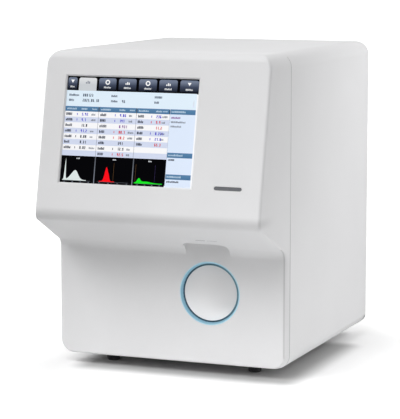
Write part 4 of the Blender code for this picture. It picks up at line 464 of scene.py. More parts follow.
@dataclass(frozen=True)
class Rimmed(Moulded):
    """Key plastic whose bevelled rim is painted in the ring's blue as painted light, with painted shade on one side."""

    rim: float = 0.0339
    rim_painted_shade: Colour = ink(30, 66, 88)
    rim_painted_light: Colour = ink(112, 148, 160)

    def paint(self, shader: Shader, tone: Socket) -> Socket:
        """Turns the tone to the rim's painted light outside the rim's radius, paler towards one side and darker as
        painted shade on the other.

        Args:
            shader: Shader that the tone belongs to.
            tone: Tone of the key's face.

        Returns:
            Socket with both tones.
        """
        tone = super().paint(shader, tone)
        radius, across, up = shader.about(KEY_AXIS)
        # The rim's blue is a painted glow from the ring, darker towards the lower left as painted shade.
        rim = shader.mix((across * 0.8 + up * 0.4).step(-0.03, 0.03), self.rim_painted_shade, self.rim_painted_light)
        return shader.mix(radius.step(self.rim - 0.00015, self.rim + 0.00015), tone, rim)


@dataclass(frozen=True)
class SheetMetal(Finish):
    """Folded or milled metal with rolling lines along one axis."""

    roughness: float = 0.38
    lines: Point = (1.0, 40.0, 40.0)
    line_depth: float = 0.00001

    def material(self) -> bpy.types.Material:
        """Builds a metal whose lines show in its colour, gloss and relief."""
        shader = Shader(self.name, Metallic=1.0)
        lines = shader.noise(0.02, 3, shader.place(stretch=self.lines))
        bloom = shader.noise(0.03, 2)
        tone = shader.mix(lines, shaded(self.colour, 0.84), shaded(self.colour, 1.1))
        return shader.dress(
            Base_Color=shader.mix(bloom.step(0.35, 0.75) * 0.35, tone, shaded(self.colour, 0.8)),
            Roughness=self.roughness + (lines - 0.5) * 0.18 + (bloom - 0.5) * 0.1,
            Normal=shader.bump(lines, self.line_depth))


@dataclass(frozen=True)
class TurnedMetal(Finish):
    """Turned bar or fitting with fine tool rings."""

    roughness: float = 0.22

    def material(self) -> bpy.types.Material:
        """Builds a bright metal with fine marks and a little tarnish."""
        shader = Shader(self.name, Metallic=1.0)
        marks = shader.noise(0.0006, 2)
        tarnish = shader.noise(0.012, 3)
        tone = shader.mix(tarnish.step(0.4, 0.8), self.colour, shaded(self.colour, 0.72))
        return shader.dress(
            Base_Color=tone,
            Roughness=self.roughness + (marks - 0.5) * 0.12 + tarnish.step(0.45, 0.8) * 0.12,
            Normal=shader.bump(marks, 0.000006))


@dataclass(frozen=True)
class Threaded(Finish):
    """Steel spindle with a helical thread about an upright axis."""

    axis: Pair = (0.0, 0.0)
    pitch: float = 0.002
    starts: int = 5
    depth: float = 0.0006

    def material(self) -> bpy.types.Material:
        """Builds a steel whose grooves wind round the spindle, darkened in colour as painted shade."""
        shader = Shader(self.name, Metallic=1.0)
        across, deep, up = shader.along(shader.place(centre=(self.axis[0], self.axis[1], 0.0)))
        turn = shader.maths("ARCTAN2", deep, across) / math.tau
        wave = (up / self.pitch + turn * self.starts).within().distance(0.5) * 2
        groove = wave.step(0.25, 0.75)
        return shader.dress(
            # The thread's hollows are darkened as painted shade.
            Base_Color=shader.mix(groove, shaded(self.colour, 0.45), self.colour),
            Roughness=0.34 - groove * 0.12 + (shader.noise(0.003) - 0.5) * 0.1,
            Normal=shader.bump(groove, self.depth))


@dataclass(frozen=True)
class Rubber(Finish):
    """Dull rubber with a trace of dust."""

    roughness: float = 0.75

    def material(self) -> bpy.types.Material:
        """Builds a dull, slightly dusty rubber."""
        shader = Shader(self.name, IOR=1.5)
        dust = shader.noise(0.004, 4)
        grain = shader.noise(0.0004)
        return shader.dress(
            Base_Color=shader.mix(dust.step(0.5, 0.8) * 0.3, self.colour, ink(74, 74, 76)),
            Roughness=self.roughness + (dust - 0.5) * 0.2,
            Normal=shader.bump(grain, 0.00003))


@dataclass(frozen=True)
class Clear(Finish):
    """Clear or tinted tube and vessel plastic."""

    roughness: float = 0.08
    clearness: float = 0.82

    def material(self) -> bpy.types.Material:
        """Builds a see-through plastic with faint clouding and drawn lines."""
        shader = Shader(self.name, IOR=1.49, Transmission_Weight=self.clearness)
        haze = shader.noise(0.006, 3)
        return shader.dress(
            Base_Color=shader.mix(haze.step(0.35, 0.8) * 0.5, self.colour, shaded(self.colour, 0.86)),
            Roughness=self.roughness + haze.step(0.4, 0.8) * 0.12,
            Normal=shader.bump(shader.noise(0.002), 0.00001))


@dataclass(frozen=True)
class LightRing(Finish):
    """Blue light guide round the key, with painted shade where it meets the key."""

    dark: Colour = ink(18, 46, 72)
    pale: Colour = ink(166, 196, 206)
    gap_edge: float = 0.036
    lip_edge: float = 0.0381
    glow: float = 0.5

    def material(self) -> bpy.types.Material:
        """Builds rings of tone about the key's axis, with a dark inner ring of painted shade."""
        shader = Shader(self.name, IOR=1.49, Specular_IOR_Level=0.3, Emission_Strength=self.glow)
        radius = shader.about(KEY_AXIS)[0]
        cloud = shader.noise(0.01, 3)
        body = shader.mix(radius.step(self.lip_edge - 0.0006, self.lip_edge + 0.0002), self.colour, self.pale)
        body = shader.mix(cloud * 0.3, body, shaded(self.colour, 0.85))
        # The dark inner ring is painted shade of the gap between ring and key.
        tone = shader.mix(radius.step(self.gap_edge + 0.0001, self.gap_edge - 0.0003), body, self.dark)
        return shader.dress(
            Base_Color=tone,
            Emission_Color=tone,
            Roughness=0.3 + (cloud - 0.5) * 0.1,
            Normal=shader.bump(shader.noise(0.0004), 0.00001))


@dataclass(frozen=True)
class Display(Finish):
    """Lit picture under glass: each tile's own colour, seen through a smeared front."""

    glow: float = 0.62

    def material(self) -> bpy.types.Material:
        """Builds the screen's finish from the tiles' colour attribute."""
        shader = Shader(self.name, IOR=1.5, Specular_IOR_Level=0.02, Emission_Strength=self.glow)
        tile = shader.node("Attribute", {"attribute_name": "tile"}).outputs["Color"]
        smear = shader.noise(0.02, 3, shader.place(turn=(0, 0.6, 0), stretch=(1, 1, 3)))
        dots = shader.along(shader.place())[0] / 0.00025
        lattice = dots.within().distance(0.5).step(0.42, 0.5)
        return shader.dress(
            Emission_Color=tile,
            Base_Color=shader.mix(0.62 + lattice * 0.05, tile, ink(1, 1, 2)),
            Roughness=0.12 + smear.step(0.4, 0.8) * 0.14)


@dataclass(frozen=True)
class Circuit(Finish):
    """Lacquered circuit board with copper runs under the lacquer."""

    run: float = 0.0018

    def material(self) -> bpy.types.Material:
        """Builds a green board whose runs step sideways by blocks, with dots of solder."""
        shader = Shader(self.name, IOR=1.5, Coat_Weight=0.4, Coat_Roughness=0.15)
        _, deep, up = shader.along(shader.place())
        blocks = shader.node("TexVoronoi", {"distance": "CHEBYCHEV"}, {"Vector": shader.place(), "Scale": 60.0})
        side = Value(shader, blocks.outputs["Distance"]).step(0.3, 0.31)
        upright = (deep / self.run).within().distance(0.5).step(0.3, 0.25)
        level = (up / self.run).within().distance(0.5).step(0.3, 0.25)
        runs = upright * side + level * (1 - side)
        pads = shader.cells(0.004).step(0.16, 0.12)
        tone = shader.mix(runs * 0.6, self.colour, shaded(self.colour, 1.9))
        return shader.dress(
            Base_Color=shader.mix(pads, tone, ink(176, 172, 150)),
            Roughness=0.38 - runs * 0.06 + pads * 0.05,
            Normal=shader.bump(runs + pads, 0.00003))


class Palette:
    """All finishes of the analyzer, each built once when it is first asked for.

    Its bands paint light into the case: painted shade darkens the seam behind the front cover, the turn of the nose,
    the lower right corner and the right of the key's face, and painted light makes the probe pocket and the lower part
    of the key's face paler.
    """

    SEAM = Band(1, -0.1216, -0.1205, 0.0002)
    # Painted shade: darkens both sides of the seam behind the front cover.
    SEAM_PAINTED_SHADE = ((0.6, (SEAM, Band(0, 0.147, 0.2, 0.002))), (0.6, (SEAM, Band(0, -0.2, -0.147, 0.002))))
    # Painted shade: darkens the turn of the nose.
    NOSE_PAINTED_SHADE = (0.78, (Band(2, 0.1985, 0.1993, 0.008), Band(0, -0.143, 0.143, 0.005)))
    # Painted light on the lower part of the key's face, painted shade on its right.
    KEY_PAINTED_LIGHT_AND_SHADE = ((1.22, (Band(2, 0.0, 0.066, 0.045),)), (0.9, (Band(0, 0.085, 0.1, 0.05), Band(2, 0.09, 0.2, 0.02))))
    # Painted shade: a dark line down the lower right corner.
    CORNER_PAINTED_SHADE = (0.77, (Band(0, 0.1459, 0.1467, 0.0009), Band(1, -0.14, -0.1235, 0.001), Band(2, 0.03, 0.178, 0.006)))
    # Painted light: makes the probe pocket paler.
    POCKET_PAINTED_LIGHT = (1.12, (Band(0, 0.022, 0.076, 0.001), Band(1, -0.127, -0.1, 0.001), Band(2, 0.14, 0.2, 0.002)))

    def __init__(self) -> None:
        """Lists the finishes by a short key."""
        self.finishes: dict[str, Finish] = {
            "cover": Moulded("cover_moulded_white", "cover_white", ink(227, 227, 228), 0.46, 0.0006, 0.00002,
                             shine=0.2, painted_light_bands=(self.NOSE_PAINTED_SHADE, self.CORNER_PAINTED_SHADE, self.POCKET_PAINTED_LIGHT, *self.SEAM_PAINTED_SHADE)),
            "case": Moulded("case_coated_white", "case_white", ink(225, 225, 226), 0.5, 0.0009, 0.00003, 0.09,
                            shine=0.2, painted_light_bands=self.SEAM_PAINTED_SHADE),
            "key": Rimmed("key_moulded_white", "key_white", ink(228, 228, 229), 0.4, 0.0004, 0.00001, 0.05,
                          shine=0.2, painted_light_bands=self.KEY_PAINTED_LIGHT_AND_SHADE),
            "lens": Moulded("smoked_lens", "grey_plastic", ink(96, 98, 102), 0.3, 0.0008, 0.000005, 0.01, 0.3),
            "dark": Moulded("dark_moulded", "dark_plastic", ink(38, 39, 42), 0.42, 0.0005, 0.00003, 0.03),
            "sheet": SheetMetal("zinc_sheet", "sheet_steel", ink(196, 198, 200), 0.42),
            "aluminium": SheetMetal("milled_aluminium", "aluminium", ink(206, 208, 212), 0.32, (30.0, 1.0, 30.0)),
            "steel": TurnedMetal("bright_steel", "bright_steel", ink(208, 210, 212), 0.2),
            "lift_thread": Threaded("lift_thread", "bright_steel", ink(208, 210, 212), middle("lift_screw", "xy"),
                                    0.002, 5),
            "syringe_thread": Threaded("syringe_thread", "bright_steel", ink(208, 210, 212),
                                       middle("syringe_screw", "xy"), 0.001, 4, 0.0003),
            "brass": TurnedMetal("turned_brass", "brass", ink(200, 170, 112), 0.3),
            "rubber": Rubber("black_rubber", "black_rubber", ink(24, 24, 26)),
            "belt": Rubber("belt_rubber", "belt_black", ink(28, 28, 30), 0.6),
            "clear": Clear("clear_acrylic", "clear_plastic", ink(232, 236, 238)),
            "tube": Clear("clear_tube", "clear_plastic", ink(226, 230, 226), 0.16, 0.55),
            "glass": Clear("front_glass", "screen_glass", ink(60, 64, 70), 0.06, 0.3),
            "board": Circuit("circuit_board", "board_green", ink(22, 92, 58)),
            "screen": Display("screen_picture", "screen_glass", ink(255, 255, 255)),
            "ring": LightRing("blue_light_ring", "ring_blue", ink(118, 156, 174)),
        }
        for key, colour, roughness in (("grey", ink(150, 152, 156), 0.45), ("cream", ink(222, 216, 200), 0.45),
                                       ("red", ink(176, 44, 40), 0.4), ("blue", ink(44, 92, 160), 0.4)):
            self.finishes[key] = Moulded(key + "_moulded", "grey_plastic", colour, roughness, cloud=0.03)
        self.made: dict[str, bpy.types.Material] = {}

    def get(self, key: str) -> bpy.types.Material:
        """Builds or returns one material by its short key."""
        if key not in self.made:
            self.made[key] = self.finishes[key].material()
        return self.made[key]

    def slot(self, key: str) -> str:
        """Names the record's slot of a finish."""
        return self.finishes[key].slot


PALETTE = Palette()


# Mesh tools


def facing(point: Sequence[float], way: Sequence[float]) -> Matrix:
    """Stands a place's own z along a direction.

    Args:
        point: Where the place is.
        way: The direction of its z.

    Returns:
        The place.
    """
    return Matrix.Translation(Vector(point)) @ Vector(way).to_track_quat("Z", "Y").to_matrix().to_4x4()


class Form:
    """A mesh under construction in the object's own frame."""

    def __init__(self) -> None:
        """Starts an empty mesh."""
        self.mesh = bmesh.new()

    def block(self, low: Sequence[float], high: Sequence[float]) -> None:
        """Adds a box between its lowest and its highest corner."""
        centre = (Vector(low) + Vector(high)) / 2
        span = Vector(high) - Vector(low)
        bmesh.ops.create_cube(self.mesh, size=1.0, matrix=Matrix.Translation(centre) @ Matrix.Diagonal((*span, 1.0)))

    def ring(self, points: Iterable[Sequence[float]], place: Matrix = Matrix()) -> list[bmesh.types.BMVert]:
        """Adds the points of one section, given in the place's own frame."""
        return [self.mesh.verts.new(place @ Vector(point)) for point in points]

    def turned(self, profile: Sequence[Pair], place: Matrix, steps: int = 24, hollow: bool = False) -> None:
        """Adds a turned shape.

        Args:
            profile: Radius and height of each point, from one end to the other.
            place: Where the turning axis, its own z, stands.
            steps: How many faces go round.
            hollow: Whether the profile closes on itself, as in a ring.
        """
        turns = [math.tau * index / steps for index in range(steps)]
        rings = [self.ring([(radius * math.cos(turn), radius * math.sin(turn), height) for turn in turns]
                           if radius > 0 else [(0, 0, height)], place) for radius, height in profile]
        for lower, upper in zip(rings, rings[1:] + (rings[:1] if hollow else [])):
            self.band(lower, upper)
        if not hollow:
            self.cap(rings)

    def band(self, lower: Sequence[bmesh.types.BMVert], upper: Sequence[bmesh.types.BMVert]) -> None:
        """Joins two sections by faces.

        Args:
            lower: The first section's points, or its one tip.
            upper: The second section's points, or its one tip.
        """
        steps = max(len(lower), len(upper))
        for index in range(steps):
            after = (index + 1) % steps
            corners = (lower[index % len(lower)], lower[after % len(lower)], upper[after % len(upper)],
                       upper[index % len(upper)])
            unique = list(dict.fromkeys(corners))
            if len(unique) > 2:
                self.mesh.faces.new(unique)

    def cap(self, rings: Sequence[Sequence[bmesh.types.BMVert]]) -> None:
        """Closes the first and the last of a row of sections, apart from tips."""
        for ring in (rings[0][::-1], rings[-1]):
            if len(ring) > 1:
                self.mesh.faces.new(ring)

    def plate(self, outline: Sequence[Pair], place: Matrix, thickness: float) -> None:
        """Adds a flat plate.

        Args:
            outline: Its corners, anticlockwise in the place's own x and y.
            place: Where its lower face lies.
            thickness: Its height along the place's own z.
        """
        rings = [self.ring([(x, y, level) for x, y in outline], place) for level in (0.0, thickness)]
        self.cap(rings)
        self.band(*rings)

    def rod(self, point: Sequence[float], way: Sequence[float], radius: float, length: float,
            steps: int = 16) -> None:
        """Adds a round or many-sided bar with softened ends.

        Args:
            point: The middle of its first end.
            way: The direction in which it reaches.
            radius: Its radius.
            length: Its length.
            steps: How many faces go round.
        """
        soft = min(radius, length) * 0.12
        self.turned([(radius - soft, 0.0), (radius, soft), (radius, length - soft), (radius - soft, length)],
                    facing(point, way), steps)

    def data(self, name: str = "seed") -> bpy.types.Mesh:
        """Ends the form as a mesh whose faces point outwards."""
        data = bpy.data.meshes.new(name)
        bmesh.ops.recalc_face_normals(self.mesh, faces=self.mesh.faces)
        self.mesh.to_mesh(data)
        self.mesh.free()
        return data

    def piece(self, name: str, body: str, finish: str, smooth: float = 0.6) -> None:
        """Ends the form as a piece, with the same arguments as riding."""
        riding(name, self.data(name), body, finish, smooth)


def riding(name: str, data: bpy.types.Mesh, body: str, finish: str, smooth: float = 0.6) -> bpy.types.Object:
    """Makes a finished piece of a mesh.

    Args:
        name: The piece's name.
        data: Its mesh, in the object's own frame.
        body: The body that carries it.
        finish: The short key of its finish.
        smooth: The sharpest angle, in radians, that is still shaded smooth.

    Returns:
        The piece, riding on its body.
    """
    data.materials.clear()
    data.materials.append(PALETTE.get(finish))
    data.shade_smooth()
    data.set_sharp_from_angle(angle=smooth)
    made = bpy.data.objects.new(name, data)
    bpy.context.scene.collection.objects.link(made)
    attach(made, body)
    PALETTE.slot(finish)
    LOG.info("piece %s: %d faces on %s", name, len(data.polygons), body)
    return made


def polished(node: str, finish: str, smooth: float = 0.6) -> None:
    """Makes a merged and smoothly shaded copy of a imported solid, which stands for it.

    Args:
        node: The solid's name.
        finish: The short key of its finish.
        smooth: The sharpest angle, in radians, that is still shaded smooth.
    """
    solid = frame["nodes"][node]
    work = bmesh.new()
    work.from_mesh(solid.data)
    bmesh.ops.remove_doubles(work, verts=work.verts, dist=0.000002)
    bmesh.ops.dissolve_limit(work, angle_limit=0.002, verts=work.verts, edges=work.edges)
    data = bpy.data.meshes.new(node + "_skin")
    work.to_mesh(data)
    work.free()
    if "custom_normal" in data.attributes:
        data.attributes.remove(data.attributes["custom_normal"])
    made = riding(node + "_skin", data, solid["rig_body"], finish, smooth)
    weighted = made.modifiers.new("normals", "WEIGHTED_NORMAL")
    weighted.keep_sharp = True
    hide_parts(node)


# Repeated and path-following pieces


class Growth(Nodes):
    """A Geometry Nodes tree with named sizes, which makes one plain mesh out of a seed mesh."""

    KINDS = {float: "NodeSocketFloat", int: "NodeSocketInt", tuple: "NodeSocketVector"}

    def __init__(self, name: str, finish: str, **sizes: float | int | Point) -> None:
        """Starts a tree.

        Args:
            name: The tree's name.
            finish: The short key of the finish that it sets.
            **sizes: The named inputs and their values, with underscores for spaces.
        """
        self.name = name
        self.finish = finish
        super().__init__(bpy.data.node_groups.new(name, "GeometryNodeTree"), "GeometryNode")
        front = self.tree.interface
        front.new_socket("Geometry", in_out="INPUT", socket_type="NodeSocketGeometry")
        self.sizes = {}
        for label, size in sizes.items():
            made = front.new_socket(label.replace("_", " "), in_out="INPUT", socket_type=self.KINDS[type(size)])
            self.sizes[made.identifier] = size
        front.new_socket("Geometry", in_out="OUTPUT", socket_type="NodeSocketGeometry")
        self.given = self.node("NodeGroupInput").outputs
        self.end(self.shape())

    def shape(self) -> Socket:
        """Adds the nodes that make the shape and gives the last one's socket."""
        raise NotImplementedError

    def maths(self, operation: str, first: object, second: object = 0.0) -> Socket:
        """Adds a Math node and gives its result."""
        return self.node("ShaderNodeMath", {"operation": operation}, {0: first, 1: second}).outputs[0]

    def triple(self, x: object = 0.0, y: object = 0.0, z: object = 0.0) -> Socket:
        """Joins three values into a vector."""
        return self.node("ShaderNodeCombineXYZ", None, {0: x, 1: y, 2: z}).outputs[0]

    def end(self, last: Socket) -> None:
        """Realizes what the tree made, gives it its finish and puts it out."""
        real = self.node("RealizeInstances", None, {"Geometry": last}).outputs[0]
        painted = self.node("SetMaterial", None, {"Geometry": real, "Material": PALETTE.get(self.finish)})
        self.node("NodeGroupOutput", None, {0: painted.outputs[0]})

    def piece(self, seed: bpy.types.Mesh, body: str, place: Matrix = Matrix(), smooth: float = 0.6) -> bpy.types.Object:
        """Grows the piece.

        Args:
            seed: The mesh that the tree works on.
            body: The body that carries the piece.
            place: Where the grown mesh is put.
            smooth: The sharpest angle, in radians, that is still shaded smooth.

        Returns:
            The piece.
        """
        source = bpy.data.objects.new(self.name + "_seed", seed)
        bpy.context.scene.collection.objects.link(source)
        modifier = source.modifiers.new("growth", "NODES")
        modifier.node_group = self.tree
        for identifier, size in self.sizes.items():
            modifier[identifier] = size
        graph = bpy.context.evaluated_depsgraph_get()
        data = bpy.data.meshes.new_from_object(source.evaluated_get(graph), depsgraph=graph)
        bpy.data.objects.remove(source)
        data.name = self.name
        data.transform(place)
        return riding(self.name, data, body, self.finish, smooth)


class Screws(Growth):
    """Tapered heads with hexagon sockets, one on each seed point, along its "way" and by its "size"."""

    def shape(self) -> Socket:
        """Cuts one head and sets it on every point."""
        rise, depth, socket = (self.given[name] for name in ("Rise", "Socket Depth", "Socket Radius"))
        head = self.node("MeshCone", None, {"Vertices": 16, "Radius Top": 0.84, "Radius Bottom": 1.0, "Depth": rise})
        tool = self.node("MeshCylinder", None, {"Vertices": 6, "Radius": socket, "Depth": self.maths(
            "MULTIPLY", depth, 2.0)})
        moved = self.node("Transform", None, {"Geometry": tool.outputs[0], "Translation": self.triple(z=rise)})
        cut = self.node("MeshBoolean", {"operation": "DIFFERENCE"}, {0: head.outputs[0], 1: moved.outputs[0]})
        way = self.node("InputNamedAttribute", {"data_type": "FLOAT_VECTOR"}, {"Name": "way"}).outputs[0]
        size = self.node("InputNamedAttribute", {"data_type": "FLOAT"}, {"Name": "size"}).outputs[0]
        turn = self.node("FunctionNodeAlignRotationToVector", {"axis": "Z"}, {"Vector": way}).outputs[0]
        return self.node("InstanceOnPoints", None, {
            "Points": self.given["Geometry"], "Instance": cut.outputs[0], "Rotation": turn, "Scale": size}).outputs[0]


class Tubes(Growth):
    """Round tubes that follow the seed's edges, with rounded bends."""

    def shape(self) -> Socket:
        """Rounds each run and carries a circle along it."""
        run = self.node("MeshToCurve", None, {"Mesh": self.given["Geometry"]}).outputs[0]
        bent = self.node("FilletCurve", {"mode": "POLY"}, {
            "Curve": run, "Count": 6, "Radius": self.given["Bend"], "Limit Radius": True}).outputs[0]
        circle = self.node("CurvePrimitiveCircle", None, {"Resolution": 10, "Radius": self.given["Radius"]})
        return self.node("CurveToMesh", None, {
            "Curve": bent, "Profile Curve": circle.outputs[0], "Fill Caps": True}).outputs[0]


class Coil(Growth):
    """A coil spring along z with closed ends."""

    def shape(self) -> Socket:
        """Winds a spiral and carries the wire's circle along it."""
        path = self.node("CurveSpiral", None, {
            "Resolution": 28, "Rotations": self.given["Turns"], "Start Radius": self.given["Radius"],
            "End Radius": self.given["Radius"], "Height": self.given["Height"]}).outputs[0]
        circle = self.node("CurvePrimitiveCircle", None, {"Resolution": 8, "Radius": self.given["Wire"]})
        return self.node("CurveToMesh", None, {
            "Curve": path, "Profile Curve": circle.outputs[0], "Fill Caps": True}).outputs[0]


class Grid(Growth):
    """The seed repeated by columns and rows."""

    def shape(self) -> Socket:
        """Repeats the seed along one step, then the result along the other."""
        last = self.given["Geometry"]
        for count, step in (("Columns", "Column Step"), ("Rows", "Row Step")):
            line = self.node("MeshLine", {"mode": "OFFSET"}, {"Count": self.given[count], "Offset": self.given[step]})
            last = self.node("InstanceOnPoints", None, {"Points": line.outputs[0], "Instance": last}).outputs[0]
        return last


class Wheel(Growth):
    """The seed repeated in even turns about z."""

    def shape(self) -> Socket:
        """Turns one copy of the seed for each of the points."""
        count = self.given["Count"]
        line = self.node("MeshLine", {"mode": "OFFSET"}, {"Count": count, "Offset": (0.0, 0.0, 0.0)}).outputs[0]
        share = self.maths("DIVIDE", self.node("InputIndex").outputs[0], count)
        turn = self.triple(z=self.maths("MULTIPLY", share, math.tau))
        return self.node("InstanceOnPoints", None, {
            "Points": line, "Instance": self.given["Geometry"], "Rotation": turn}).outputs[0]


def block_seed(low: Sequence[float], high: Sequence[float]) -> bpy.types.Mesh:
    """Makes a seed of one box between two corners."""
    form = Form()
    form.block(low, high)
    return form.data()


def grid(name: str, finish: str, seed: bpy.types.Mesh, columns: tuple[int, float] = (1, 0.0),
         rows: tuple[int, float] = (1, 0.0), body: str = "case", place: Matrix = Matrix(), smooth: float = 0.6,
         across: Point = (0.0, 1.0, 0.0)) -> None:
    """Repeats a seed in columns and upright rows.

    Args:
        name: The piece's name.
        finish: The short key of its finish.
        seed: The mesh that is repeated.
        columns: How many columns, and their step.
        rows: How many rows, and their step along z.
        body: The body that carries the piece.
        place: Where the grown mesh is put.
        smooth: The sharpest angle, in radians, that is still shaded smooth.
        across: The direction of the columns.
    """
    step = tuple(part * columns[1] for part in across)
    made = Grid(name, finish, Columns=columns[0], Column_Step=step, Rows=rows[0], Row_Step=(0.0, 0.0, rows[1]))
    made.piece(seed, body, place, smooth)


def screws(name: str, body: str, places: Sequence[tuple], way: Sequence[float], size: float,
           finish: str = "steel") -> bpy.types.Object:
    """Sets screw heads.

    Args:
        name: The piece's name.
        body: The body that carries them.
        places: Where each head meets its surface.
        way: The direction in which the heads stand.
        size: The heads' radius.
        finish: The short key of their finish.

    Returns:
        The piece.
    """
    data = bpy.data.meshes.new("seed")
    data.from_pydata([Vector(place) for place in places], [], [])
    ways = data.attributes.new("way", "FLOAT_VECTOR", "POINT")
    ways.data.foreach_set("vector", [part for _ in places for part in way])
    sizes = data.attributes.new("size", "FLOAT", "POINT")
    sizes.data.foreach_set("value", [size] * len(places))
    growth = Screws(name, finish, Rise=0.62, Socket_Depth=0.38, Socket_Radius=0.5)
    return growth.piece(data, body, smooth=0.5)


def tubes(name: str, body: str, runs: Sequence[Sequence[tuple]], radius: float, bend: float, finish: str) -> None:
    """Lays tubes or wires.

    Args:
        name: The piece's name.
        body: The body that carries them.
        runs: The corner points of each one.
        radius: Their radius.
        bend: The radius of their bends.
        finish: The short key of their finish.
    """
    data = bpy.data.meshes.new("seed")
    points = [Vector(point) for run in runs for point in run]
    edges, first = [], 0
    for run in runs:
        edges += [(first + index, first + index + 1) for index in range(len(run) - 1)]
        first += len(run)
    data.from_pydata(points, edges, [])
    Tubes(name, finish, Radius=radius, Bend=bend).piece(data, body, smooth=1.2)


# Stage


@dataclass(frozen=True)
class Lamp:
    """What both kinds of lamp share."""

    name: str

    def _hang(self, data: bpy.types.Light, way: Vector) -> bpy.types.Object:
        """Adds a lamp that shines against a direction."""
        lamp = bpy.data.objects.new(self.name, data)
        lamp.rotation_euler = way.to_track_quat("Z", "Y").to_euler()
        bpy.context.scene.collection.objects.link(lamp)
        return lamp


@dataclass(frozen=True)
class SoftSun(Lamp):
    """A far, soft lamp that stands in a direction from the object, in degrees."""

    turn: float
    rise: float
    strength: float
    softness: float = 30.0

    def build(self) -> None:
        """Adds the lamp."""
        data = bpy.data.lights.new(self.name, "SUN")
        data.energy = math.pi * self.strength
        data.angle = math.radians(self.softness)
        turn, rise = math.radians(self.turn), math.radians(self.rise)
        self._hang(data, Vector((math.sin(turn) * math.cos(rise), -math.cos(turn) * math.cos(rise), math.sin(rise))))


@dataclass(frozen=True)
class NearPanel(Lamp):
    """A square lamp close to the object, aimed at its middle, that leaves no glare."""

    place: Point
    size: float
    power: float
    target: Point = (0.0, -0.1, 0.18)

    def build(self) -> None:
        """Adds the lamp."""
        data = bpy.data.lights.new(self.name, "AREA")
        data.energy = self.power
        data.shape = "SQUARE"
        data.size = self.size
        lamp = self._hang(data, Vector(self.place) - Vector(self.target))
        lamp.location = self.place
        lamp.visible_glossy = False


@dataclass
class Studio:
    """Floor, sky, lamps and camera."""

    camera_place: Point = (0.914, -2.29504, 0.5194)
    camera_turn: float = 22.0
    camera_dip: float = 7.73
    lens: float = 168.35
    sensor: float = 36.0
    floor_span: float = 120.0
    floor_middle: Point = (0.02, -0.018, 0.0)
    foot_reach: Pair = (0.125, 0.112)
    painted_shadow_fade: float = 0.035
    glow_reach: float = 0.25
    bounce_fade: Pair = (0.27, 0.65)
    sky: float = 0.0
    lamps: tuple[SoftSun | NearPanel, ...] = (
        SoftSun("front_high", 0.0, 50.0, 0.18),
        SoftSun("front_left_low", -45.0, 30.0, 0.135),
        SoftSun("front_left_high", -45.0, 50.0, 0.36),
        SoftSun("left", -90.0, 30.0, 0.225),
        SoftSun("rear", 160.0, 50.0, 0.15),
        NearPanel("right_low_panel", (0.3, -0.7, 0.06), 0.25, 0.75),
        NearPanel("right_panel", (0.8, 0.1, 0.25), 0.3, 1.467),
        NearPanel("front_panel", (0.1, -0.8, 0.9), 0.5, 2.184),
        NearPanel("rear_right_panel", (0.6, 0.35, 0.5), 0.3, 1.773),
    )

    def build(self) -> None:
        """Builds the camera, sky, lamps and floor."""
        self._camera()
        self._sky()
        for lamp in self.lamps:
            lamp.build()
        self._floor()
        LOG.info("studio is set with %d lamps", len(self.lamps))

    def _camera(self) -> None:
        """Places the camera at the photograph's viewing angle."""
        data = bpy.data.cameras.new("camera")
        data.lens = self.lens
        data.sensor_width = self.sensor
        data.clip_start, data.clip_end = 0.05, 300.0
        camera = bpy.data.objects.new("camera", data)
        bpy.context.scene.collection.objects.link(camera)
        turn, dip = math.radians(self.camera_turn), math.radians(self.camera_dip)
        way = Vector((-math.sin(turn) * math.cos(dip), math.cos(turn) * math.cos(dip), -math.sin(dip)))
        camera.location = self.camera_place
        camera.rotation_euler = way.to_track_quat("-Z", "Y").to_euler()
        bpy.context.scene.camera = camera

    def _sky(self) -> None:
        """Lights the world evenly and shows it white to the camera, metal and glass."""
        world = bpy.data.worlds.new("sky")
        world.use_nodes = True
        bpy.context.scene.world = world
        world.node_tree.nodes.clear()
        sky = Nodes(world.node_tree, "ShaderNode")
        path = sky.node("LightPath").outputs
        seen = path["Is Camera Ray"]
        for kind in ("Is Glossy Ray", "Is Transmission Ray"):
            seen = sky.node("Math", {"operation": "MAXIMUM"}, {0: seen, 1: path[kind]}).outputs[0]
        dim, white = (sky.node("Background", None, {"Color": grey(1.0), "Strength": strength}).outputs[0]
                      for strength in (self.sky, 1.0))
        blend = sky.node("MixShader", None, {0: seen, 1: dim, 2: white}).outputs[0]
        sky.node("OutputWorld", None, {"Surface": blend})

    def _floor(self) -> None:
        """Lays a white floor that keeps the object's shadow, darkens the paper round the object's footprint as a
        painted shadow, and throws light back from near the object.
        """
        data = bpy.data.meshes.new("floor")
        reach = self.floor_span / 2
        data.from_pydata([(-reach, -reach, 0), (reach, -reach, 0), (reach, reach, 0), (-reach, reach, 0)], [],
                         [(0, 1, 2, 3)])
        shader = Shader("floor_paper", Roughness=1.0, Specular_IOR_Level=0.0, Emission_Strength=1.0)
        sides = shader.along(shader.place(centre=self.floor_middle))
        across, deep = (shader.maths("MAXIMUM", side.distance(0.0) - reach, 0.0)
                        for side, reach in zip(sides, self.foot_reach))
        away = (across * across + deep * deep).root()
        seen = Value(shader, shader.node("LightPath").outputs["Is Camera Ray"])
        bounce = shader.mix(away.step(*self.bounce_fade), grey(0.88), grey(0.1))
        # Painted shadow: the paper seen by the camera darkens near the object's footprint.
        paper_with_painted_shadow = shader.mix(away.step(0.0, self.painted_shadow_fade), grey(0.48), grey(0.98))
        data.materials.append(shader.dress(
            Base_Color=shader.mix(seen, bounce, paper_with_painted_shadow),
            Emission_Color=shader.mix(seen * away.step(0.0, self.glow_reach), grey(0.0), grey(0.6))))
        floor = bpy.data.objects.new("floor", data)
        bpy.context.scene.collection.objects.link(floor)


# The analyzer's pieces


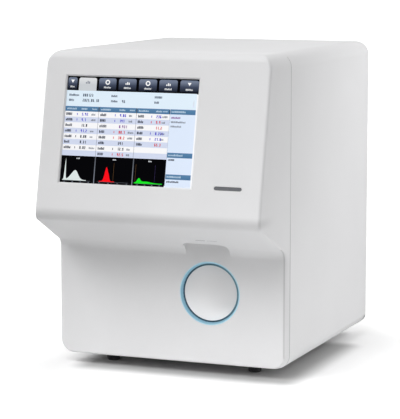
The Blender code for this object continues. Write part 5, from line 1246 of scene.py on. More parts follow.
@dataclass
class Casing:
    """The moulded front cover, the cover over top and sides, the door, the rear panel and the feet."""

    smooth: float = 0.62
    skins: dict[str, str] = field(default_factory=lambda: {
        "front_cover": "cover", "main_cover": "case", "right_door": "case", "rear_panel": "case",
        "base_tray": "case"})
    feet: tuple[str, ...] = ("foot_front_left", "foot_front_right", "foot_rear_left", "foot_rear_right")

    def build(self) -> None:
        """Dresses the whole outer case."""
        for node, finish in self.skins.items():
            polished(node, finish, self.smooth)
        for node in self.feet:
            polished(node, "rubber", self.smooth)


@dataclass
class KeyUnit:
    """The round key, its light ring, the status light and the dark plates in the two slits, which are painted shade."""

    smooth: float = 0.6
    slit_middle: Pair = (-0.15928, 0.16947)
    slit_tilt: float = math.radians(25.87)
    # Each slit's dark plate is painted shade, darker in the first slit.
    slit_places: tuple[tuple[float, str], ...] = ((0.0513, "dark"), (0.0661, "grey"))
    slit_half: Pair = (0.0063, 0.00054)
    slit_sink: float = 0.00006
    slit_thickness: float = 0.0012

    def build(self) -> None:
        """Dresses the key, the ring and the status light."""
        for node, finish in (("aspirate_key", "key"), ("key_ring", "ring"), ("status_lens", "lens")):
            polished(node, finish, self.smooth)
        self._slits()

    def _slits(self) -> None:
        """Closes the two slits in the slope by thin dark plates, painted shade, that sit just under its surface."""
        long, wide = self.slit_half
        outline = [(-long, -wide), (long, -wide), (long, wide), (-long, wide)]
        for index, (across, finish) in enumerate(self.slit_places):
            form = Form()
            place = Matrix.Translation((across, *self.slit_middle)) @ Matrix.Rotation(-self.slit_tilt, 4, "X")
            form.plate(outline, place @ Matrix.Translation((0.0, 0.0, self.slit_sink)), self.slit_thickness)
            form.piece(f"slit_shade_plate_{index}", "case", finish, 0.5)


class Ink(Enum):
    """Colours of the screen's picture."""

    BLACK = ink(1, 1, 3)
    SLATE = ink(118, 128, 148)
    SLATE_MID = ink(66, 74, 94)
    SLATE_DEEP = ink(24, 28, 38)
    CHOSEN = ink(206, 210, 214)
    CHOSEN_TOP = ink(226, 228, 230)
    BAND = ink(228, 243, 255)
    HEADING = ink(74, 118, 158)
    HEADING_TOP = ink(92, 134, 172)
    ROW = ink(252, 252, 254)
    ROW_BLUE = ink(214, 222, 243)
    SIDE = ink(225, 237, 255)
    WORD = ink(44, 52, 70)
    NOTE = ink(84, 96, 116)
    CAPTION = ink(186, 208, 226)
    UNIT = ink(128, 134, 146)
    BLUE = ink(74, 64, 206)
    RED = ink(214, 44, 56)
    PURPLE = ink(132, 72, 150)
    WHITE = ink(255, 255, 255)
    CURVE = ink(226, 236, 234)
    CURVE_RED = ink(255, 16, 28)
    CURVE_GREEN = ink(26, 236, 40)
    DIVIDER = ink(92, 96, 104)
    AMBER = ink(112, 82, 48)
    VIOLET = ink(62, 52, 96)


class Layer(IntEnum):
    """How many thin steps a tile lies in front of the picture's ground."""

    GROUND = 0
    FIELD = 1
    FRAME = 2
    MARK = 3
    FRONT = 4


@dataclass
class Screen:
    """The touch glass and the lit picture on it. Picture places are shares from the top left corner."""

    width: float = 0.1716
    height: float = 0.129
    lift: float = 0.00006
    layer: float = 0.00002
    centre: Vector = field(init=False)
    right: Vector = field(init=False)
    up: Vector = field(init=False)
    out: Vector = field(init=False)
    form: bmesh.types.BMesh = field(init=False)
    tone: bmesh.types.BMLayerItem = field(init=False)
    chance: random.Random = field(init=False)

    def build(self) -> None:
        """Draws the picture tile by tile and dresses the glass."""
        self._find_front()
        self.form = bmesh.new()
        self.tone = self.form.loops.layers.float_color.new("tile")
        self.chance = random.Random(7)
        self._ground()
        self._tabs()
        self._details()
        self._table()
        self._side_column()
        self._plots()
        data = bpy.data.meshes.new("screen_picture")
        self.form.to_mesh(data)
        self.form.free()
        riding("screen_picture", data, "case", "screen", 0.5)
        polished("touch_glass", "glass")

    def _find_front(self) -> None:
        """Reads the place of the glass's front face from its solid."""
        data = frame["nodes"]["touch_glass"].data
        best = max(data.polygons, key=lambda face: (-face.normal.y, face.area))
        self.out = best.normal.copy()
        level = [face for face in data.polygons if face.normal.dot(self.out) > 0.999]
        corners = [data.vertices[index].co for face in level for index in face.vertices]
        low = Vector([min(corner[axis] for corner in corners) for axis in range(3)])
        high = Vector([max(corner[axis] for corner in corners) for axis in range(3)])
        self.centre = (low + high) / 2
        self.right = Vector((1, 0, 0))
        self.up = self.out.cross(self.right)

    def _point(self, across: float, down: float, layer: Layer) -> Vector:
        """Turns a place in the picture into a point.

        Args:
            across: The share from the left edge.
            down: The share from the top edge.
            layer: The layer that it lies in.

        Returns:
            The point in the object's own frame.
        """
        side = self.right * ((across - 0.5) * self.width)
        rise = self.up * ((0.5 - down) * self.height)
        return self.centre + side + rise + self.out * (self.lift + layer * self.layer)

    def _tile(self, corners: Sequence[Pair], inks: Sequence[Ink], layer: Layer) -> None:
        """Adds one tile.

        Args:
            corners: Its corners' places in the picture.
            inks: Its one colour, or one for each corner.
            layer: The layer that it lies in.
        """
        face = self.form.faces.new([self.form.verts.new(self._point(x, y, layer)) for x, y in corners])
        for index, loop in enumerate(face.loops):
            loop[self.tone] = inks[index % len(inks)].value
        if face.calc_area() and (face.normal_update() or face.normal.dot(self.out) < 0):
            face.normal_flip()

    def _bar(self, left: float, top: float, right: float, bottom: float, tone: Ink,
             layer: Layer = Layer.FIELD, low: Ink | None = None) -> None:
        """Adds an upright bar.

        Args:
            left: The share of its left edge.
            top: The share of its top edge.
            right: The share of its right edge.
            bottom: The share of its bottom edge.
            tone: Its colour, or its top colour.
            layer: The layer that it lies in.
            low: Its bottom colour, where that differs.
        """
        low = low or tone
        self._tile([(left, bottom), (right, bottom), (right, top), (left, top)], [low, low, tone, tone], layer)

    def _words(self, left: float, top: float, width: float, tone: Ink, height: float) -> None:
        """Adds a run of short bars that stands for a word.

        Args:
            left: The share of its left edge.
            top: The share of its top edge.
            width: Its width.
            tone: Its colour.
            height: Its height.
        """
        place = left
        while place < left + width:
            run = self.chance.uniform(0.004, 0.009)
            dip = self.chance.choice((0.0, 0.0, 0.25)) * height
            self._bar(place, top + dip, min(place + run, left + width), top + height, tone, Layer.MARK)
            place += run + 0.0022

    def _digits(self, text: str, left: float, top: float, tone: Ink, height: float = 0.026) -> None:
        """Adds plain numerals of seven strokes.

        Args:
            text: Numerals and points.
            left: The share of its left edge.
            top: The share of its top edge.
            tone: Its colour.
            height: Its height.
        """
        strokes = {"0": "abcdef", "1": "bc", "2": "abged", "3": "abgcd", "4": "fgbc", "5": "afgcd", "6": "afgecd",
                   "7": "abc", "8": "abcdefg", "9": "abcdfg"}
        wide, thick = height * 0.36, height * 0.15
        thick_up = thick * self.height / self.width * 1.6
        bars = {"a": (0, 0, wide, thick), "d": (0, height - thick, wide, height),
                "g": (0, (height - thick) / 2, wide, (height + thick) / 2), "f": (0, 0, thick_up, height / 2),
                "e": (0, height / 2, thick_up, height), "b": (wide - thick_up, 0, wide, height / 2),
                "c": (wide - thick_up, height / 2, wide, height)}
        for mark in text:
            if mark == ".":
                self._bar(left, top + height - thick, left + thick_up, top + height, tone, Layer.FRONT)
                left += thick_up * 2
                continue
            for stroke in strokes[mark]:
                x0, y0, x1, y1 = bars[stroke]
                self._bar(left + x0, top + y0, left + x1, top + y1, tone, Layer.FRONT)
            left += wide * 1.45

    def _ground(self) -> None:
        """Lays the ground colours."""
        self._bar(-0.004, -0.004, 1.004, 1.004, Ink.BLACK, Layer.GROUND)
        self._bar(0.0, 0.135, 0.985, 0.285, Ink.BAND)
        self._bar(0.795, 0.28, 0.985, 1.0, Ink.SIDE)
        self._bar(0.985, 0.14, 1.004, 1.004, Ink.ROW)
        self._bar(0.79, 0.985, 1.004, 1.004, Ink.ROW)

    def _tabs(self) -> None:
        """Draws the row of tabs with rounded tops and small plain marks."""
        tabs = ((0.006, 0.076), (0.09, 0.226), (0.243, 0.375), (0.394, 0.527), (0.547, 0.681), (0.699, 0.835),
                (0.855, 0.992))
        for index, (left, right) in enumerate(tabs):
            chosen = index == 1
            tones = (Ink.CHOSEN_TOP, Ink.CHOSEN, Ink.CHOSEN) if chosen else (Ink.SLATE, Ink.SLATE_MID, Ink.SLATE_DEEP)
            self._rounded_tab(left, 0.014, right, 0.136 if chosen else 0.124, tones)
            middle = (left + right) / 2
            self._tab_mark(index, middle, Ink.UNIT if chosen else Ink.WHITE)
            if not chosen:
                reach = 0.026 if index else 0.016
                self._words(middle - reach, 0.092, 2 * reach, Ink.CHOSEN_TOP, 0.016)

    def _rounded_tab(self, left: float, top: float, right: float, bottom: float, tones: Sequence[Ink]) -> None:
        """Adds one tab.

        Args:
            left: The share of its left edge.
            top: The share of its top edge.
            right: The share of its right edge.
            bottom: The share of its bottom edge.
            tones: Its colours at the top, in the middle and at the bottom.
        """
        radius_x, radius_y = 0.015, 0.02
        waist = top + (bottom - top) * 0.55
        corners = [(left, waist), (right, waist)]
        for middle, start in ((right - radius_x, 0), (left + radius_x, 90)):
            for index in range(5):
                turn = math.radians(start + 22.5 * index)
                corners.append((middle + radius_x * math.cos(turn), top + radius_y - radius_y * math.sin(turn)))
        self._tile(corners, [tones[1]] * 2 + [tones[0]] * 10, Layer.FRAME)
        self._bar(left, waist, right, bottom, tones[1], Layer.FRAME, tones[2])

    def _tab_mark(self, index: int, middle: float, tone: Ink) -> None:
        """Draws a tab's plain mark.

        Args:
            index: The tab's number.
            middle: The share of its middle.
            tone: The mark's colour.
        """
        if index in (0, 6):
            self._tile([(middle - 0.014, 0.036), (middle + 0.014, 0.036), (middle, 0.066)], [tone], Layer.FRONT)
        elif index in (2, 4):
            for step in range(12):
                turns = [math.tau * (step + end) / 12 for end in (0, 1)]
                ring = [(middle + reach * 0.75 * math.cos(turn), 0.052 - reach * math.sin(turn))
                        for reach, turn in ((0.024, turns[0]), (0.024, turns[1]), (0.013, turns[1]), (0.013, turns[0]))]
                self._tile(ring, [tone], Layer.FRONT)
        else:
            for shift, tall in ((-0.016, 0.014), (-0.004, 0.026), (0.008, 0.02)):
                self._bar(middle + shift, 0.07 - tall, middle + shift + 0.008, 0.07, tone, Layer.FRONT)

    def _details(self) -> None:
        """Draws the two rows of details under the tabs."""
        for top, words in ((0.168, ((0.022, 0.075), (0.345, 0.045), (0.672, 0.055))),
                           (0.216, ((0.022, 0.038), (0.345, 0.048), (0.672, 0.034)))):
            for left, width in words:
                self._words(left, top, width, Ink.NOTE, 0.02)
        self._digits("000123", 0.128, 0.165, Ink.NOTE)
        self._digits("2025.06.18", 0.128, 0.213, Ink.NOTE)
        self._digits("46", 0.428, 0.213, Ink.NOTE)
        self._tile([(0.958, 0.262), (0.972, 0.262), (0.965, 0.19)], [Ink.SIDE, Ink.SIDE, Ink.CHOSEN], Layer.FRAME)

    def _table(self) -> None:
        """Draws the result table: headings, striped rows, names, numbers and units."""
        top, step = 0.33, 0.0519
        groups = ((0.0, 0.255, 0.125), (0.262, 0.542, 0.415), (0.549, 0.79, 0.69))
        results = (
            (("5.42", "B"), ("4.7", "B"), ("13.8", "W"), ("41.2", "B"), ("0.08", "W"), ("0.31", "W"), ("0.02", "W")),
            (("4.86", "B"), ("147", "B"), ("0.431", "P"), ("88.7", "R"), ("30.2", "R"), ("341", "W"), ("12.9", "W"),
             ("42.5", "R")),
            (("236", "B"), ("9.4", "R"), ("11.2", "R"), ("0.221", "B"), ("27.6", "B"), ("65.3", "R")),
        )
        tones = {"B": Ink.BLUE, "R": Ink.RED, "P": Ink.PURPLE, "W": Ink.WORD}
        for (left, right, numbers), rows in zip(groups, results):
            self._bar(left, 0.283, right, top, Ink.HEADING_TOP, Layer.FRAME, Ink.HEADING)
            self._words(left + 0.012, 0.299, 0.075, Ink.CAPTION, 0.015)
            self._words(numbers, 0.299, 0.045, Ink.CAPTION, 0.015)
            self._words(right - 0.048, 0.3, 0.036, Ink.CAPTION, 0.012)
            for row in range(8):
                high = top + row * step
                self._bar(left - 0.004, high, right + 0.004, high + step, Ink.ROW_BLUE if row % 2 else Ink.ROW)
                if row < len(rows):
                    text, tone = rows[row]
                    self._words(left + 0.01, high + 0.014, self.chance.uniform(0.038, 0.055), Ink.WORD, 0.024)
                    self._digits(text, numbers + 0.006, high + 0.013, tones[tone])
                    if row % 3 != 2:
                        self._words(right - 0.052, high + 0.018, self.chance.uniform(0.022, 0.044), Ink.UNIT, 0.018)
                        self._bar(numbers - 0.032, high + 0.016, numbers - 0.027, high + 0.036, tones[tone], Layer.MARK)
        for line in (0.258, 0.545):
            self._bar(line - 0.0012, 0.283, line + 0.0012, 0.745, Ink.UNIT, Layer.FRAME)

    def _side_column(self) -> None:
        """Draws the side column's headings and notes."""
        for top in (0.283, 0.68, 0.878):
            self._bar(0.797, top, 0.983, top + 0.046, Ink.HEADING_TOP, Layer.FRAME, Ink.HEADING)
            self._words(0.806, top + 0.014, 0.105, Ink.CAPTION, 0.017)
        for top, width, tone in ((0.352, 0.07, Ink.PURPLE), (0.392, 0.108, Ink.UNIT), (0.432, 0.08, Ink.UNIT),
                                 (0.738, 0.048, Ink.WORD), (0.938, 0.09, Ink.WORD)):
            self._words(0.806, top, width, tone, 0.016)

    def _plots(self) -> None:
        """Draws the three plots."""
        edges = ((0.0, 0.255), (0.266, 0.545), (0.556, 0.79))
        for left, right in edges:
            self._bar(left, 0.745, right, 1.0, Ink.BLACK, Layer.FRAME)
            self._bar(left + 0.02, 0.975, right - 0.02, 0.9775, Ink.DIVIDER, Layer.MARK)
            self._words((left + right) / 2 - 0.012, 0.762, 0.026, Ink.CHOSEN, 0.012)
            for tick in range(4):
                place = left + 0.035 + tick * (right - left - 0.07) / 3
                self._bar(place - 0.004, 0.984, place + 0.004, 0.992, Ink.UNIT, Layer.MARK)
        for line in (0.2605, 0.5505):
            self._bar(line - 0.0035, 0.745, line + 0.0035, 1.0, Ink.DIVIDER, Layer.MARK, Ink.UNIT)
        self._curve(0.018, 0.2, Ink.CURVE, ((0.036, 0.0055, 0.2), (0.118, 0.03, 0.078), (0.085, 0.03, 0.03)))
        self._curve(0.3, 0.415, Ink.CURVE_RED, ((0.352, 0.016, 0.13), (0.372, 0.009, 0.035)))
        self._curve(0.565, 0.775, Ink.CURVE_GREEN, ((0.6, 0.016, 0.038), (0.65, 0.05, 0.014)))
        self._bar(0.405, 0.8, 0.4065, 0.968, Ink.AMBER, Layer.MARK)
        self._bar(0.571, 0.8, 0.5725, 0.96, Ink.AMBER, Layer.MARK)
        self._bar(0.716, 0.8, 0.7175, 0.96, Ink.VIOLET, Layer.MARK)

    def _curve(self, start: float, end: float, tone: Ink, humps: Sequence[Point]) -> None:
        """Draws one filled curve.

        Args:
            start: The share where it begins.
            end: The share where it ends.
            tone: Its colour.
            humps: Each hump's middle, half width and height.
        """
        count = 60
        places = [start + (end - start) * index / count for index in range(count + 1)]
        heights = [0.006 + sum(tall * math.exp(-((place - middle) / half) ** 2) for middle, half, tall in humps)
                   for place in places]
        for index in range(count):
            self._tile([(places[index], 0.974), (places[index + 1], 0.974),
                        (places[index + 1], 0.974 - heights[index + 1]), (places[index], 0.974 - heights[index])],
                       [tone], Layer.FRONT)


@dataclass
class InnerUnits:
    """Finishes of the units inside the case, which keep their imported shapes."""

    finishes: dict[str, tuple[str, ...]] = field(default_factory=lambda: {
        "sheet": ("hinge_bracket_lower", "hinge_bracket_upper", "display_module", "display_bracket", "mid_wall",
                  "sampling_frame", "bath_shelf", "syringe_bracket", "power_supply", "vacuum_pump", "data_ports"),
        "grey": ("key_guide", "probe_arm", "valve_bank", "waste_pump"),
        "cream": ("pump_rotor",),
        "steel": ("key_spring", "rail_upper", "rail_lower", "lift_rod", "sample_probe", "syringe_plunger",
                  "fan_guard"),
        "lift_thread": ("lift_screw",),
        "syringe_thread": ("syringe_screw",),
        "dark": ("key_switch", "sampling_motor", "lift_motor", "syringe_motor", "fan_frame", "fan_rotor",
                 "power_inlet", "power_rocker"),
        "aluminium": ("drive_pulley", "idler_pulley", "carriage"),
        "belt": ("sampling_belt",),
        "clear": ("probe_wipe", "wbc_bath", "rbc_bath", "waste_chamber", "syringe_barrel"),
        "board": ("main_board",),
        "brass": ("diluent_port", "lyse_port", "waste_port")})

    def build(self) -> None:
        """Gives each inner solid its finish."""
        for finish, nodes in self.finishes.items():
            for node in nodes:
                data = frame["nodes"][node].data
                data.materials.clear()
                data.materials.append(PALETTE.get(finish))
                LOG.info("solid %s: %s", node, finish)


@dataclass
class KeySpring:
    """The return spring behind the key, drawn as a real coil."""

    front: float = -0.1209
    back: float = -0.1066
    radius: float = 0.0085
    wire: float = 0.0006
    travel: float = 0.003

    def build(self) -> None:
        """Winds the spring and gives it a mesh of its own."""
        length = self.back - self.front
        across, up = KEY_AXIS
        place = Matrix.Translation((across, self.front + self.wire, up)) @ Matrix.Rotation(-math.pi / 2, 4, "X")
        coil = Coil("key_coil", "steel", Turns=5.0, Radius=self.radius, Height=length - 2 * self.wire, Wire=self.wire)
        spring = coil.piece(bpy.data.meshes.new("seed"), "case", place, 1.2)
        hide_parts("key_spring")
        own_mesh(spring)


@dataclass
class RearPanel:
    """Fasteners, louvres and the contacts in the rear sockets."""

    face: float = 0.1925
    fan: Pair = middle("fan_frame", "xz")
    inlet: Point = (-0.095, 0.1788, 0.1095)
    rocker: Pair = middle("power_rocker", "xz")
    data_floor: float = 0.1819
    data_height: float = 0.2035

    def build(self) -> None:
        """Builds everything that the rear panel carries."""
        self._fasteners()
        self._louvres()
        self._contacts()
        self._rocker_marks()
        self._port_nuts()

    def _fasteners(self) -> None:
        """Sets the panel's border screws and the fan's screws."""
        border = [(x, self.face, z) for x in (-0.1355, 0.1355) for z in (0.03, 0.117, 0.203, 0.29, 0.375)]
        border += [(0.0, self.face, z) for z in (0.0285, 0.3765)]
        screws("panel_screws", "case", border, (0, 1, 0), 0.0026)
        reach = 0.0334
        corners = [(self.fan[0] + side * reach, self.face, self.fan[1] + rise * reach)
                   for side in (-1, 1) for rise in (-1, 1)]
        screws("fan_screws", "case", corners, (0, 1, 0), 0.0034, "dark")

    def _louvres(self) -> None:
        """Presses two columns of vent louvres, open below, into the upper right of the panel."""
        form = Form()
        section = ((0.0, 0.0062), (0.0009, 0.0055), (0.0016, 0.0036), (0.0019, 0.0012), (0.0019, 0.0), (0.0, 0.0))
        ends = ((0.019, 0.05), (0.0165, 0.8), (0.014, 1.0))
        rings = [form.ring([(x, depth * share, rise * (0.55 + 0.45 * share)) for depth, rise in section])
                 for x, share in (*((-x, share) for x, share in ends), *ends[::-1])]
        for lower, upper in zip(rings, rings[1:]):
            form.band(lower, upper)
        form.cap(rings)
        grid("louvres", "case", form.data(), (2, 0.05), (9, 0.0105), across=(1.0, 0.0, 0.0), smooth=0.9,
             place=Matrix.Translation((0.036, self.face - 0.0001, 0.252)))

    def _contacts(self) -> None:
        """Adds blades, tongues and pins to the mains and data sockets."""
        blades = Form()
        for shift, lift in ((-0.007, -0.002), (0.0, 0.002), (0.007, -0.002)):
            x, z = self.inlet[0] + shift, self.inlet[2] + lift
            blades.block((x - 0.0011, self.inlet[1], z - 0.0021), (x + 0.0011, self.inlet[1] + 0.0142, z + 0.0021))
        blades.piece("inlet_blades", "case", "steel")
        tongues, strips = Form(), Form()
        low, base = self.data_height, self.data_floor
        for x in (-0.11133, -0.09508):
            for z in (low - 0.005, low + 0.005):
                tongues.block((x - 0.0052, base, z + 0.0004), (x + 0.0052, base + 0.0105, z + 0.0018))
                for index in range(4):
                    middle = x + (index - 1.5) * 0.0024
                    strips.block((middle - 0.0005, base, z + 0.0002), (middle + 0.0005, base + 0.0098, z + 0.0005))
        tongues.block((-0.0854, base, low - 0.0066), (-0.0722, base + 0.0012, low + 0.0066))
        tongues.block((-0.069, base, low - 0.003), (-0.055, base + 0.0042, low + 0.003))
        for index in range(9):
            x, z = (-0.062 + (index - 2) * 0.0026, low + 0.0014) if index < 5 else (
                -0.062 + (index - 6.5) * 0.0026, low - 0.0014)
            strips.rod((x, base + 0.004, z), (0, 1, 0), 0.0005, 0.0045, 8)
        tongues.piece("socket_tongues", "case", "dark")
        strips.piece("socket_strips", "case", "brass")
        pins = [[(x, base + 0.001, low + 0.0058), (x, base + 0.0022, low + 0.0056), (x, base + 0.009, low + 0.003)]
                for x in (-0.07883 + (index - 3.5) * 0.00105 for index in range(8))]
        tubes("network_pins", "case", pins, 0.00022, 0.0006, "brass")

    def _rocker_marks(self) -> None:
        """Marks the switch's on and off sides with a stroke and a ring."""
        x, z = self.rocker
        marks = Form()
        upper = facing((x, self.face + 0.00352, z + 0.0034), (0, 0.00675, -0.00145))
        marks.plate([(-0.0004, -0.0018), (0.0004, -0.0018), (0.0004, 0.0018), (-0.0004, 0.0018)], upper, 0.0001)
        lower = facing((x, self.face + 0.00308, z - 0.0034), (0, 0.00675, 0.0005))
        marks.turned([(0.0012, 0.0), (0.0018, 0.0), (0.0018, 0.00008), (0.0012, 0.00008)], lower, 20, hollow=True)
        marks.piece("rocker_marks", "power_rocker", "key")

    def _port_nuts(self) -> None:
        """Adds the nut and the hose collar behind each fluid port."""
        nuts, collars = Form(), Form()
        for x in (0.04, 0.068, 0.096):
            nuts.rod((x, 0.1858, 0.0935), (0, 1, 0), 0.0082, 0.004, 6)
            collars.rod((x, 0.1735, 0.0935), (0, 1, 0), 0.004, 0.008, 18)
        nuts.piece("port_nuts", "case", "brass", 0.4)
        collars.piece("port_collars", "case", "blue")


@dataclass
class FluidBay:
    """Tubes, fittings and wires of the wet side."""

    tube: float = 0.0015
    bend: float = 0.009
    wall: float = 0.001
    valves: tuple[float, ...] = (-0.0582, -0.0342, -0.0102, 0.0138, 0.0378)
    baths: tuple[float, ...] = middle("wbc_bath", "y") + middle("rbc_bath", "y")
    bath_x: float = middle("wbc_bath", "x")[0]
    pump_orbit: float = 0.0255
    chamber: Pair = middle("waste_chamber", "xy")
    syringe: Pair = middle("syringe_barrel", "xy")

    def build(self) -> None:
        """Builds the wet side's small parts."""
        self._tubes()
        self._pump_tube()
        self._valve_trim()
        self._bath_trim()
        self._syringe_trim()
        self._chamber_trim()
        self._wires()

    def _tubes(self) -> None:
        """Lays the clear tubes between ports, valves, baths, syringe and chamber."""
        nipple, level = 0.0088, 0.0825
        v1, v2, v3, v4, v5 = self.valves
        white, red = self.baths
        x, y = self.syringe
        runs = [
            [(0.04, 0.1745, 0.0935), (0.04, 0.166, 0.0935), (0.03, 0.156, 0.0832), (nipple, 0.12, 0.0832),
             (nipple, 0.056, 0.1), (nipple, v5, 0.104), (nipple, v5, level)],
            [(nipple, v4, level), (nipple, v4, 0.106), (0.012, 0.064, 0.106), (0.012, 0.09, 0.15),
             (0.012, 0.098, 0.3), (0.014, 0.102, 0.318), (x, 0.118, 0.322), (x, y, 0.32), (x, y, 0.294)],
            [(nipple, v3, level), (nipple, v3, 0.108), (nipple, -0.048, 0.116), (nipple, -0.048, 0.164),
             (0.024, red, 0.173), (0.0392, red, 0.173), (0.0392, red, 0.156)],
            [(nipple, v1, level), (nipple, v1, 0.1), (0.016, -0.056, 0.12), (0.016, -0.054, 0.168),
             (0.022, -0.02, 0.179), (0.0392, white, 0.179), (0.0392, white, 0.156)],
            [(0.068, 0.1745, 0.0935), (0.068, 0.166, 0.0935), (0.06, 0.15, 0.099), (0.058, 0.066, 0.099),
             (0.024, 0.052, 0.093), (0.016, v2, 0.098), (nipple, v2, 0.098), (nipple, v2, level)],
            [(self.bath_x, white, 0.0945), (self.bath_x, white, 0.074), (0.064, 0.02, 0.07), (0.088, 0.002, 0.07)],
            [(self.bath_x, red, 0.0945), (self.bath_x, red, 0.074), (0.064, -0.019, 0.056), (0.088, -0.017, 0.056)],
            [(self.wall, 0.078, 0.14), (0.03, 0.078, 0.14), (0.092, 0.044, 0.14), (0.116, 0.004, 0.138),
             (0.116, 0.0035, 0.1085)],
        ]
        tubes("hoses", "case", runs, self.tube, self.bend, "tube")

    def _pump_tube(self) -> None:
        """Lays the squeezed tube round the rotor, from the chamber's top to the waste port."""
        deep, up = PUMP_AXIS
        loop = []
        for index in range(25):
            turn = math.radians(115 + index * 310 / 24)
            loop.append((0.0975, deep + self.pump_orbit * math.cos(turn), up + self.pump_orbit * math.sin(turn)))
        start, end = loop[0], loop[-1]
        x, y = self.chamber
        run = [(x, y, 0.115), (x, y, 0.132), (0.1125, 0.04, 0.132), (0.1125, start[1], 0.104),
               (0.1125, start[1], start[2] + 0.001), *loop, (0.1125, end[1], end[2] + 0.001),
               (0.1125, end[1], 0.096), (0.1, 0.15, 0.0935), (0.096, 0.166, 0.0935), (0.096, 0.1745, 0.0935)]
        tubes("pump_hose", "case", [run], 0.002, 0.006, "cream")

    def _valve_trim(self) -> None:
        """Gives each valve its coil sleeve, end nut and nipple collar."""
        step = self.valves[1] - self.valves[0]
        parts = (
            ("valve_sleeves", "blue", (0.024, self.valves[0], 0.0635), (1, 0, 0), 0.0099, 0.015, 20),
            ("valve_nuts", "steel", (0.046, self.valves[0], 0.0635), (1, 0, 0), 0.0042, 0.0012, 6),
            ("valve_collars", "cream", (0.0088, self.valves[0], 0.0795), (0, 0, 1), 0.003, 0.0045, 12),
        )
        for name, finish, point, way, radius, length, steps in parts:
            form = Form()
            form.rod(point, way, radius, length, steps)
            grid(name, finish, form.data(), (len(self.valves), step))

    def _bath_trim(self) -> None:
        """Gives each bath its aperture block, electrode and drain collar."""
        blocks, pins = Form(), Form()
        for y in self.baths:
            blocks.block((0.0625, y - 0.005, 0.118), (0.071, y + 0.005, 0.129))
            blocks.rod((self.bath_x, y, 0.0905), (0, 0, 1), 0.0046, 0.005, 14)
            pins.rod((0.0705, y, 0.1235), (1, 0, 0), 0.0012, 0.0062, 12)
            pins.rod((0.0708, y, 0.1235), (1, 0, 0), 0.0028, 0.002, 6)
        blocks.piece("aperture_blocks", "case", "cream")
        pins.piece("electrodes", "case", "brass")

    def _syringe_trim(self) -> None:
        """Marks the barrel and adds the plunger's seals and the nozzle's nut."""
        x, y = self.syringe
        mark = Form()
        mark.turned([(0.0099, 0.0), (0.01006, 0.0), (0.01006, 0.0003), (0.0099, 0.0003)],
                    Matrix.Translation((x, y, 0.21)), 40, hollow=True)
        grid("barrel_marks", "dark", mark.data(), rows=(15, 0.005))
        seals = Form()
        for z in (0.276, 0.28):
            seals.turned([(0.0064, z), (0.00692, z + 0.0004), (0.00692, z + 0.0016), (0.0064, z + 0.002)],
                         Matrix.Translation((x, y, 0.0)), 32, hollow=True)
        seals.piece("plunger_seals", "plunger", "rubber")
        nut = Form()
        nut.rod((x, y, 0.289), (0, 0, 1), 0.0054, 0.0055, 6)
        nut.piece("nozzle_nut", "case", "blue", 0.4)

    def _chamber_trim(self) -> None:
        """Adds the waste chamber's ribbed cap, side collars and the second fitting."""
        x, y = self.chamber
        cap = Form()
        cap.turned([(0.0033, 0.1079), (0.0033, 0.1085), (0.0256, 0.1085), (0.0263, 0.1078), (0.0263, 0.0994),
                    (0.0261, 0.0994), (0.0261, 0.1079)], Matrix.Translation((x, y, 0.0)), 48, hollow=True)
        cap.rod((0.116, 0.0035, 0.108), (0, 0, 1), 0.0032, 0.005, 14)
        cap.piece("chamber_cap", "case", "blue")
        rib = block_seed((0.026, -0.0005, 0.0996), (0.0269, 0.0005, 0.1076))
        Wheel("cap_ribs", "blue", Count=44).piece(rib, "case", Matrix.Translation((x, y, 0.0)))
        collars = Form()
        for point in ((0.0835, 0.0054, 0.07), (0.0812, -0.017, 0.056)):
            collars.rod(point, (0.8, -0.6 if point[1] > 0 else 0.0, 0), 0.003, 0.004, 12)
        collars.piece("chamber_collars", "case", "cream")

    def _wires(self) -> None:
        """Runs the valves', electrodes' and syringe motor's wires to rubber grommets in the wall."""
        red, dark = [], []
        for index, y in enumerate(self.valves):
            for runs, shift in ((red, 0.0), (dark, 0.0016)):
                level = 0.0868 + 0.0011 * index
                runs.append([(0.019 + shift, y, 0.0705), (0.019 + shift, y, 0.079),
                             (0.0042 - shift, y + 0.006, level), (0.0042 - shift, 0.058, level),
                             (self.wall - 0.0006, 0.066, 0.089)])
        for y in self.baths:
            side = y + 0.0168
            dark.append([(0.076, y, 0.1235), (0.08, y, 0.1235), (0.08, side, 0.1165), (self.wall, side, 0.1165)])
        x, y = self.syringe
        for runs, shift in ((red, -0.0012), (dark, 0.0012)):
            runs.append([(0.02 + shift, y + 0.015, 0.104), (0.02 + shift, y + 0.026, 0.104),
                         (0.008, y + 0.032, 0.104 + shift), (self.wall, y + 0.032, 0.104)])
        tubes("wires_red", "case", red, 0.00045, 0.004, "red")
        tubes("wires_dark", "case", dark, 0.00045, 0.004, "dark")
        rings = Form()
        for deep, up in ((0.066, 0.089), (0.078, 0.14), (y + 0.032, 0.104), (self.baths[0] + 0.0168, 0.1165),
                         (self.baths[1] + 0.0168, 0.1165)):
            rings.turned([(0.0, 0.0004), (0.002, 0.0004), (0.0024, 0.0014), (0.0034, 0.0018), (0.0044, 0.001),
                          (0.0046, -0.0001)], facing((self.wall, deep, up), (1, 0, 0)), 20)
        rings.piece("grommets", "case", "rubber")


